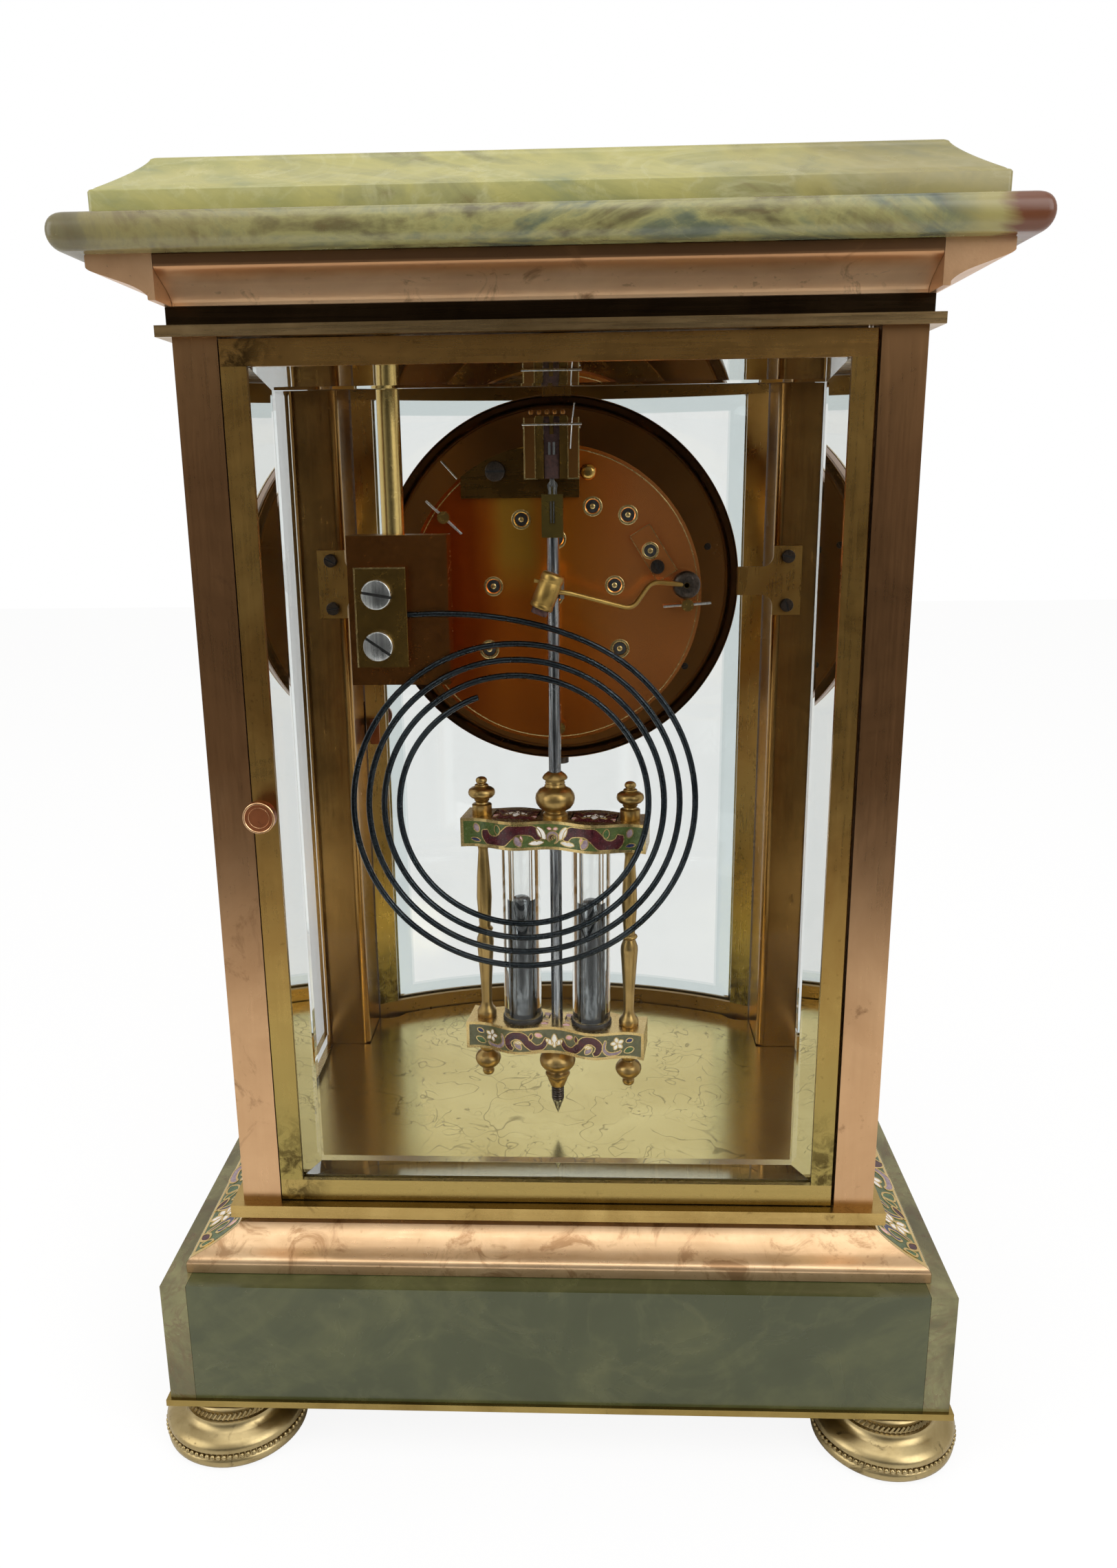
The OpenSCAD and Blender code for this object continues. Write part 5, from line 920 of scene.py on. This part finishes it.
# The bowl is painted shade in near black.
piece("pin_cock_bowl", moved(lathe([(2.05, -0.6), (2.05, 0.03), (1.9, 0.06)], 28), stand), SLOT_SHADE)
piece("pin_cock_pivot", moved(lathe([(0.85, -0.3), (0.85, 0.14), (0.6, 0.22), (0.2, 0.26)], 20), stand), GILT)
KNOB_AT = (83.15, 81.6, 206.5)
# The knob's rim and ring carry the painted highlight.
piece("rear_knob_rim", [ring_y(*KNOB_AT, 4.0, 4.6, 0.4), ring_y(*KNOB_AT, 2.9, 3.1, 0.2)], KNOB_RIM_HIGHLIGHT, "rear_latch")


# ---- champleve enamel: thin raised cells on a curved surface ----

def leaf(path, width, blunt=0.8, steps=14):
    """A leaf as (left, right) edge points along a curve given as a function of 0 to 1."""
    left, right = [], []
    for i in range(steps + 1):
        t = i / steps
        p, q = path(max(t - 0.01, 0)), path(min(t + 0.01, 1))
        dx, dy = q[0] - p[0], q[1] - p[1]
        d = hypot(dx, dy)
        w = width * max(sin(pi * (0.04 + 0.92 * t)), 0.02) ** blunt / 2
        x, y = path(t)
        left.append((x - dy / d * w, y + dx / d * w))
        right.append((x + dy / d * w, y - dx / d * w))
    return left, right


def arc_leaf(cx, cy, r, a0, a1, width, shrink=0.35):
    def path(t):
        a = radians(a0 + (a1 - a0) * t)
        rr = r * (1 - shrink * t)
        return cx + rr * cos(a), cy + rr * sin(a)
    return leaf(path, width)


def petal(x, y, length, width, angle):
    c, s = cos(radians(angle)), sin(radians(angle))
    return leaf(lambda t: (x + c * length * t, y + s * length * t), width, 0.7, 8)


def motif(kind):
    """One repeat about 0, in units where the field is 8 high: colour -> leaves, the same on both sides."""
    cells = {key: [] for key in ENAMELS}

    def both(key, shape):
        left, right = shape
        cells[key] += [shape, ([(-x, y) for x, y in right], [(-x, y) for x, y in left])]

    def petals(*rows):
        for key, *row in rows:
            both(key, petal(*row))

    if kind == "posy":
        for angle in (18, 66, 114, 162, 210, 258, 306):
            turn = radians(angle)
            cells["white"].append(petal(0.5 * cos(turn), -0.6 + 0.5 * sin(turn), 2.0, 1.25, angle))
        both("navy", leaf(curve([(3.4, -2.6), (2.6, -0.4), (3.4, 1.6), (5.0, 1.8), (5.6, 0.4), (4.8, -0.6)]), 1.2,
                          0.5, 24))
        petals(("lilac", 1.2, 2.0, 2.2, 1.3, 35), ("maroon", 3.6, -3.2, 3.0, 1.5, 30),
               ("pink", 5.8, 1.6, 2.2, 1.2, 60), ("deep", 6.6, -2.6, 2.8, 1.5, 50))
    elif kind == "bold":
        both("maroon", leaf(curve([(4.6, -1.6), (6.2, 1.2), (9.5, 2.5), (13.2, 2.4), (15.8, 0.4), (18.4, -2.2),
                                   (21.4, -2.5), (23.6, -1.0), (24.2, 1.4)]), 4.6, 0.4, 40))
        petals(("lilac", 11.0, -3.6, 4.0, 2.6, 62), ("pink", 11.0, 0.4, 2.3, 1.1, -100),
               ("deep", 19.0, 0.2, 3.4, 2.2, 80), ("white", 2.4, -1.4, 5.4, 2.4, 58),
               ("white", 3.0, -2.4, 5.2, 1.8, -3), ("pink", 0.2, 2.2, 1.8, 1.2, 15),
               ("lilac", 26.8, 0.3, 3.2, 2.2, 70), ("navy", 26.0, -2.8, 3.4, 1.4, 12))
        cells["lilac"].append(arc_leaf(0, -0.8, 2.1, 250, -60, 1.1, 0.25))
        cells["maroon"].append(arc_leaf(0, -0.8, 0.8, 200, -120, 0.8, 0.3))
    else:
        both("maroon", leaf(curve([(2.7, 0.8), (4.2, -2.2), (7.0, -2.9), (9.4, -1.0), (11.6, 1.8), (14.6, 2.2),
                                   (16.8, 0.2), (16.2, -2.2), (14.8, -2.9)]), 3.0, 0.4, 44))
        petals(("lilac", 12.0, -3.0, 3.8, 2.1, 52), ("white", 11.8, -0.6, 2.6, 1.3, 14),
               ("white", 0.4, -1.8, 3.4, 1.8, 40), ("pink", 4.4, 1.4, 3.0, 1.8, 25),
               ("maroon", 8.2, 3.0, 2.8, 1.5, -75))
        both("lilac", leaf(curve([(19.2, 2.2), (18.6, -1.0), (20.4, -3.0), (23.4, -2.9), (24.8, -1.9)]), 1.5, 0.5,
                           24))
        for angle in (30, 102, 174, 246, 318):
            both("white", petal(23.4 + 0.3 * cos(radians(angle)), 0.7 + 0.3 * sin(radians(angle)), 2.1, 1.5, angle))
        petals(("deep", 26.0, -2.6, 3.8, 2.2, 28), ("navy", 26.6, 1.4, 2.6, 1.7, 25))
        cells["white"].append(petal(0, -2.8, 5.2, 2.2, 90))
    return cells


def cell(shape, lay, lift, base=-0.12):
    """A leaf, domed and closed below; lay(u, v) gives a place and its normal."""
    left, right = shape
    rows = []
    for l, r in zip(left, right):
        row = []
        for share, h in ((0, base), (0, lift * 0.75), (0.25, lift), (0.75, lift), (1, lift * 0.75), (1, base)):
            p, n = lay(l[0] + (r[0] - l[0]) * share, l[1] + (r[1] - l[1]) * share)
            row.append(p + n * h)
        rows.append(row)
    return loft(rows)


def outline_cell(shape, lay, lift, width=0.17):
    """A fine gilt line round a leaf."""
    left, right = shape
    loop = left + right[::-1]
    n = len(loop)
    rings = []
    for i in range(n):
        (x0, y0), (x1, y1), (x2, y2) = loop[i - 1], loop[i], loop[(i + 1) % n]
        dx, dy = x2 - x0, y2 - y0
        d = hypot(dx, dy) or 1
        nx, ny = -dy / d * width, dx / d * width
        ring = []
        for k, h in ((-1, -0.1), (-1, lift), (1, lift), (1, -0.1)):
            p, nn = lay(x1 + k * nx, y1 + k * ny)
            ring.append(p + nn * h)
        rings.append(ring)
    return hoop(rings)


def field(surface, s0, s1, v0, v1, lift, steps):
    """The enamel ground between two gilt borders."""
    rows = []
    for i in range(steps + 1):
        s = s0 + (s1 - s0) * i / steps
        row = [surface(s, v0 + (v1 - v0) * j / 8) for j in range(9)]
        rows.append([p + n * lift for p, n in row] + [p - n * 0.15 for p, n in row[::-1]])
    return loft(rows)


ENAMELS = {"maroon": MAROON, "deep": DEEP_GREEN, "lilac": LILAC, "navy": NAVY, "pink": PINK, "white": WHITE}


def champleve(name, surface, spans, v_mid, height, period, body, ground, kind, steps_per_mm=0.7):
    """Ground, coloured cells and gilt lines along spans of s."""
    scale = height / 8.0
    grounds, lines, cells = [], [], {key: [] for key in ENAMELS}
    for s0, s1 in spans:
        grounds.append(field(surface, s0, s1, v_mid - height / 2, v_mid + height / 2, 0.06,
                             max(int((s1 - s0) * steps_per_mm), 4)))
        count = max(round((s1 - s0) / (period * scale)), 1)
        step = (s1 - s0) / count
        for i in range(count):
            middle, reach = s0 + step * (i + 0.5), step / scale / 2 - 0.2

            def lay(u, v):
                return surface(middle + u * scale, v_mid + v * scale)

            for layer, (key, shapes) in enumerate(motif(kind).items()):
                for shape in shapes:
                    if min(abs(x) for side in shape for x, _ in side) > reach - 0.6:
                        continue
                    edge = [[(max(min(x, reach), -reach), max(min(y, 3.75), -3.75)) for x, y in side]
                            for side in shape]
                    cells[key].append(cell(edge, lay, 0.12 + 0.012 * layer))
                    lines.append(outline_cell(edge, lay, 0.2))
    piece(name + "_ground", grounds, ground, body)
    piece(name + "_lines", lines, GILT, body)
    for key, shapes in cells.items():
        if shapes:
            piece(name + "_" + key, shapes, ENAMELS[key], body)


def spot(lengths, v):
    """The step of a run that holds v, and the share of that step before it."""
    v = max(min(v, lengths[-1] - 1e-6), 0)
    i = bisect_right(lengths, v) - 1
    return i, (v - lengths[i]) / (lengths[i + 1] - lengths[i])


def ogee_surface():
    """Positions along the run of the base moulding and up its ogee."""
    lengths = [0.0]
    for (o0, z0), (o1, z1) in zip(OGEE, OGEE[1:]):
        lengths.append(lengths[-1] + hypot(o1 - o0, z1 - z0))

    def profile_at(v):
        i, t = spot(lengths, v)
        (o0, z0), (o1, z1) = OGEE[i], OGEE[i + 1]
        d = hypot(o1 - o0, z1 - z0)
        return o0 + (o1 - o0) * t, z0 + (z1 - z0) * t, (z1 - z0) / d, -(o1 - o0) / d

    mid = 8.0
    r_mid, h_mid = BOW_R + mid, HALF_W + mid
    a_mid = asin(h_mid / r_mid)
    bow_half = r_mid * a_mid
    y_corner = BOW_Y - r_mid * cos(a_mid)
    side_len = REAR_Y + rear_out(mid, OGEE[0][0]) - y_corner

    def surface(s, v):
        """s is 0 at the middle of the bow and grows towards +X."""
        out, z, n_out, n_z = profile_at(v)
        sign = 1 if s >= 0 else -1
        d = abs(s)
        if d <= bow_half:
            half, r = HALF_W + out, BOW_R + out
            a = asin(half / r) * d / bow_half
            p = Vector((sign * r * sin(a), BOW_Y - r * cos(a), z))
            n = Vector((sign * sin(a) * n_out, -cos(a) * n_out, n_z))
        else:
            r = BOW_R + out
            y0 = BOW_Y - sqrt(r * r - (HALF_W + out) ** 2)
            y1 = REAR_Y + rear_out(out, OGEE[0][0])
            p = Vector((sign * (HALF_W + out), y0 + (y1 - y0) * (d - bow_half) / side_len, z))
            n = Vector((sign * n_out, 0, n_z))
        return p, n.normalized()
    return surface, bow_half, side_len, lengths[-1]


ogee, bow_half, side_len, ogee_len = ogee_surface()
near, far, posy = bow_half + 2.0, bow_half + side_len - 2.0, 28.0
band = ogee_len * 0.5, ogee_len - 2.6
champleve("base_enamel", ogee, [(-far + posy, -near), (-near + 4.0, near - 4.0), (near, far - posy)], *band, 58.0,
          "case", GREEN, "fine")
champleve("base_posies", ogee, [(-far, -far + posy), (far - posy, far)], *band, 16.0, "case", GREEN, "posy")

TURN_BOB = Matrix.Rotation(radians(BOB_TURN), 3, "Z")


def bob_outline():
    """Arc-length points of a bob plate's outline, turned as on the rod, with outward normals."""
    edge = []
    for i in range(121):
        t = -1 + 2 * i / 120
        edge.append((t * 30.3, 7.6 - 1.6 * cos(radians(360 * 1.18 * t))))
    sides = {}
    for name, pts in (("rear", edge), ("front", [(-x, -y) for x, y in edge])):
        run, table = 0.0, []
        for i, (x, y) in enumerate(pts):
            a, b = pts[max(i - 1, 0)], pts[min(i + 1, len(pts) - 1)]
            if i:
                run += hypot(x - pts[i - 1][0], y - pts[i - 1][1])
            normal = Vector((-(b[1] - a[1]), b[0] - a[0], 0)).normalized()
            table.append((run, TURN_BOB @ Vector((x, y, 0)), TURN_BOB @ normal))
        sides[name] = table
    return sides


BOB_SIDES = bob_outline()


def bob_edge_surface(table, z0):
    runs = [row[0] for row in table]

    def surface(s, v):
        i, t = spot(runs, s)
        (_, p0, n0), (_, p1, n1) = table[i:i + 2]
        p = p0.lerp(p1, t)
        return Vector((p.x, p.y + BOB_Y, z0 + v)), n0.lerp(n1, t).normalized()
    return surface


def bob_top_surface(z):
    def surface(along, across):
        p = TURN_BOB @ Vector((along, across, 0))
        return Vector((p.x, p.y + BOB_Y, z)), Vector((0, 0, 1))
    return surface


for tier_name, kind, (low, high) in zip(("lower", "upper"), ("fine", "bold"), BOB_TIERS):
    for side, table in BOB_SIDES.items():
        champleve(f"bob_{tier_name}_{side}", bob_edge_surface(table, low), [(1.0, table[-1][0] - 1.0)],
                  (high - low) / 2, (high - low) - 2.0, 63.0, "pendulum", OLIVE if tier_name == "lower" else GREEN,
                  kind, 1.6)
champleve("bob_upper_top", bob_top_surface(BOB_TIERS[1][1]), [(-20.6, -5.4), (5.4, 20.6)], 0, 10.0, 12.0, "pendulum",
          MAROON, "fine")
champleve("bob_lower_top", bob_top_surface(BOB_TIERS[0][1]), [(-4.9, -2.6), (2.6, 4.9)], 0, 9.0, 3.0, "pendulum",
          PINK, "bold")


def bored(profile, bore):
    """Turns an outline about Z and leaves a straight bore through it."""
    return turned([(bore, profile[0][1])] + profile + [(bore, profile[-1][1])])


def on_bob(shape, x, z, flipped=False):
    place = TURN_BOB @ Vector((x, 0, 0))
    points = [(px + place.x, py + place.y + BOB_Y, z + (-pz if flipped else pz)) for px, py, pz in shape[0]]
    return points, [f[::-1] for f in shape[1]] if flipped else shape[1]


FINIAL = [(3.15, 0), (3.25, 0.2), (3.25, 3.2), (3.0, 3.4), (2.2, 3.6), (2.0, 4.0), (2.3, 4.4), (2.5, 4.7), (2.2, 5.0),
          (2.4, 5.2), (3.6, 5.7), (4.3, 6.5), (4.45, 7.3), (4.2, 8.2), (3.4, 8.8), (2.5, 9.1), (2.1, 9.3), (2.3, 9.6),
          (2.1, 9.9), (1.4, 10.1), (1.3, 10.3), (1.7, 10.6), (1.9, 11.2), (1.75, 11.8), (1.2, 12.3), (0.5, 12.5)]
DROP = [(2.7, 0), (2.8, 0.3), (2.8, 2.6), (2.5, 3.0), (2.2, 3.4), (2.4, 3.8), (3.6, 4.6), (4.3, 5.7), (4.45, 6.7),
        (4.1, 7.9), (3.3, 9.0), (2.4, 9.8), (1.7, 10.2), (1.6, 10.5), (2.0, 10.9), (2.05, 11.6), (1.7, 12.4),
        (0.9, 12.9), (0.4, 13.0)]
SHAFT = [(3.15, 0), (3.3, 0.3), (3.3, 1.6), (2.9, 2.6), (2.3, 3.2), (1.8, 4.6), (1.7, 5.6), (1.95, 12.7), (2.5, 21.2),
         (2.9, 27.0), (2.8, 28.4), (2.3, 29.8), (1.9, 30.8), (2.5, 31.2), (2.75, 31.7), (2.5, 32.2), (1.9, 32.6),
         (1.9, 33.2), (2.15, 36.4), (2.55, 43.1), (2.3, 50.0), (1.8, 57.0), (1.6, 59.6), (1.8, 60.8), (2.4, 61.6),
         (2.9, 62.2), (2.9, 62.6)]
KNOP = [(4.0, 0), (4.1, 0.5), (4.0, 1.0), (3.4, 1.5), (3.4, 2.0), (5.2, 3.1), (6.2, 4.6), (6.5, 6.2), (6.25, 7.6),
        (5.2, 9.0), (3.8, 9.7), (3.3, 10.0), (3.5, 10.3), (3.3, 10.6), (3.1, 11.1), (3.3, 11.4), (3.1, 11.8),
        (3.2, 12.3), (4.0, 12.7), (4.1, 13.1), (3.6, 13.9), (2.9, 14.5), (2.4, 14.9), (2.2, 15.0)]
NUT = [(3.4, 0), (3.5, 1.2), (3.7, 1.8), (5.0, 2.7), (5.9, 4.0), (6.2, 5.3), (5.9, 6.7), (4.9, 8.0), (3.7, 8.8),
       (3.3, 9.1), (3.5, 9.4), (4.1, 9.8), (4.25, 10.4), (4.0, 11.0), (3.4, 11.4), (3.5, 12.0), (3.2, 13.0),
       (2.7, 14.2), (2.5, 14.8)]
turnings = [on_bob(bored(KNOP, 2.0), 0, BOB_TIERS[1][1])]
for x in (-COLUMN_X, COLUMN_X):
    turnings += [on_bob(lathe(FINIAL, 48), x, BOB_TIERS[1][1]), on_bob(lathe(SHAFT, 48), x, BOB_TIERS[0][1]),
                 on_bob(lathe(DROP, 48), x, BOB_TIERS[0][0], True)]
piece("bob_turnings", turnings, TURNED, "pendulum", ["pendulum_columns"])
piece("nut_turned", on_bob(bored(NUT, 2.3), 0, 110.7, True), TURNED, "rating_nut", ["rating_nut"])
fill = [(2.4, 121.04), (3.03, 121.3), (3.03, 163.7), (2.7, 164.4), (1.8, 164.75), (0.6, 164.82)]
piece("mercury_columns", [on_bob(lathe(fill, 40), x, 0) for x in (-VIAL_X, VIAL_X)], MERCURY, "pendulum",
      ["mercury"])
thread = [(1.97 + 0.22 * (k % 2), 0.45 * k) for k in range(15)]
piece("rod_thread", on_bob(lathe(thread, 32), 0, 90.6), DARK_SCREW, "pendulum")


# ---- suspension ----

def block(x, y, z):
    """A box between pairs of limits with slightly eased edges along Z."""
    e = min(abs(x[1] - x[0]), abs(y[1] - y[0])) * 0.15
    ring = [(x[0] + e, y[0]), (x[1] - e, y[0]), (x[1], y[0] + e), (x[1], y[1] - e),
            (x[1] - e, y[1]), (x[0] + e, y[1]), (x[0], y[1] - e), (x[0], y[0] + e)]
    return loft([[(px, py, pz) for px, py in ring] for pz in z])


def mirrored(*boxes):
    """Boxes with limits given for +X, and the same ones at -X."""
    return joined(*[block(sorted((s * x[0], s * x[1])), y, z) for s in (-1, 1) for x, y, z in boxes])


EDGE_Y, EDGE_Z = (35.3, 35.75), (299.2, 317.0)
piece("suspension_edges", mirrored(((7.95, 8.3), EDGE_Y, EDGE_Z), ((4.8, 5.05), EDGE_Y, EDGE_Z),
                                   ((4.9, 8.2), EDGE_Y, (299.2, 299.6))), GILT)
piece("suspension_hollows", mirrored(((5.05, 7.95), (35.4, 35.58), (299.6, 316.9))), RING)
piece("suspension_strips", [mirrored(((2.4, 4.7), (34.4, 35.2), (299.3, 317.5))),
                            block((-0.6, 0.6), (33.3, 33.8), (312.3, 317.8))], CLAMP)
piece("suspension_blades", mirrored(((0.3, 1.1), (33.3, 33.7), (306.3, 310.0)),
                                    ((0.2, 0.7), (31.6, 32.2), (297.5, 299.6))), STEEL)
piece("suspension_chops", [block((-2.4, 2.4), (32.6, 34.3), (299.4, 306.3)),
                           block((-2.3, 2.3), (33.12, 33.3), (306.3, 317.4))], LEATHER)
wire = [(-7.0, 35.95, 321.0), (-6.8, 35.95, 320.6), (-6.2, 35.95, 315.7), (-5.7, 35.95, 308.0)]
piece("suspension_pin", [tube([(8.7, 36.1, 315.0), (-9.1, 36.1, 315.0)], 0.4, 12),
                         tube(rounded_path(wire, 0.5), 0.22, 8)], STEEL)
drum = lathe([(0.15, -0.8), (0.6, -0.6), (0.8, 0), (0.6, 0.6), (0.15, 0.8)], 14)
drums = [moved(drum, Matrix.Translation((x, 34.8, 318.5))) for x in (6.0, 3.6, 1.3, -1.0, -3.4)]
piece("suspension_beads", drums, RING)
piece("hook_blades", mirrored(((0.2, 0.7), (31.6, 32.2), (286.2, 296.9))), STEEL, "pendulum")
piece("clamp_plate", block((43.0, 58.4), (50.6, 51.2), (245.0, 274.6)), CLAMP)
piece("clamp_edges", [block((43.0, 58.4), (51.0, 51.28), (274.2, 274.62)),
                      block((58.0, 58.42), (51.0, 51.28), (245.0, 274.6))], GILT)


# ---- dial ----

def dial_plate(points, height=0.16):
    """A flat figure on the dial's front: points are (right, up) as seen from the front."""
    area = sum(a[0] * b[1] - b[0] * a[1] for a, b in zip(points, points[1:] + points[:1]))
    pts = points if area > 0 else points[::-1]
    return loft([[(x, DIAL_Y - h, Z_DIAL + z) for x, z in pts] for h in (-0.05, height)])


def dial_bar(x0, y0, x1, y1, w):
    d = hypot(x1 - x0, y1 - y0)
    nx, ny = -(y1 - y0) / d * w / 2, (x1 - x0) / d * w / 2
    return [(x0 + nx, y0 + ny), (x1 + nx, y1 + ny), (x1 - nx, y1 - ny), (x0 - nx, y0 - ny)]


NUMERALS = ("XII", "I", "II", "III", "IIII", "V", "VI", "VII", "VIII", "IX", "X", "XI")

# Width of a letter, then its strokes: start and end in mm across and in shares of the height, width
LETTERS = {"I": (3.0, ((1.5, 0, 1.5, 1, 1.5),)),
           "V": (7.2, ((1.0, 1, 3.6, 0, 1.5), (3.6, 0, 6.2, 1, 0.6))),
           "X": (7.4, ((1.0, 1, 6.4, 0, 1.6), (1.0, 0, 6.4, 1, 0.6)))}


def numeral(text, height=11.0):
    """Bars of a Roman numeral centred on 0, standing on its baseline."""
    bars, x = [], 0.0
    for letter in text:
        width, strokes = LETTERS[letter]
        bars += [dial_bar(x + x0, y0 * height, x + x1, y1 * height, w) for x0, y0, x1, y1, w in strokes]
        x += width
    bars += [dial_bar(0.2, y, x - 0.2, y, 0.4) for y in (0.2, height - 0.2)]
    return [[(px - x / 2, py) for px, py in bar] for bar in bars]


def on_dial(points, angle, radius):
    """Turns a figure so that its foot points to the dial's middle."""
    a = radians(angle)
    return [(px * cos(a) + (py + radius) * sin(a), -px * sin(a) + (py + radius) * cos(a))
            for px, py in points]


def ring_front(r_in, r_out, height=0.14, sides=120, at=(0, 0)):
    points, faces = ring_y(at[0], 0, at[1], r_in, r_out, height, sides)
    return [(x, DIAL_Y - y, Z_DIAL + z) for x, y, z in points], [f[::-1] for f in faces]


figures = [dial_plate(on_dial(bar, 30 * i, 40.0)) for i, text in enumerate(NUMERALS) for bar in numeral(text)]
track = [dial_plate(on_dial(dial_bar(0, 0, 0, 2.4, 0.9 if i % 5 == 0 else 0.35), 6 * i, 54.2)) for i in range(60)]
piece("dial_numerals", figures, INK)
piece("dial_minutes", [*track, ring_front(53.9, 54.2), ring_front(56.6, 56.9)], INK)
piece("dial_centre_ring", [ring_front(33.6, 34.3, 0.2), ring_front(31.4, 31.7, 0.14)], GILT)
piece("winding_grommets", [ring_front(3.1, 4.3, 0.5, 40, (x, -17)) for x in (21, -21)], GILT)


# ---- pendulum seats ----

SEAT = [(6.45, 120.3), (6.75, 120.35), (6.85, 120.7), (6.8, 121.5), (6.6, 121.9), (6.45, 121.9)]
piece("vial_seats", [on_bob(turned(SEAT, 40), x, 0) for x in (-VIAL_X, VIAL_X)], GASKET, "pendulum")


low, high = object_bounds()
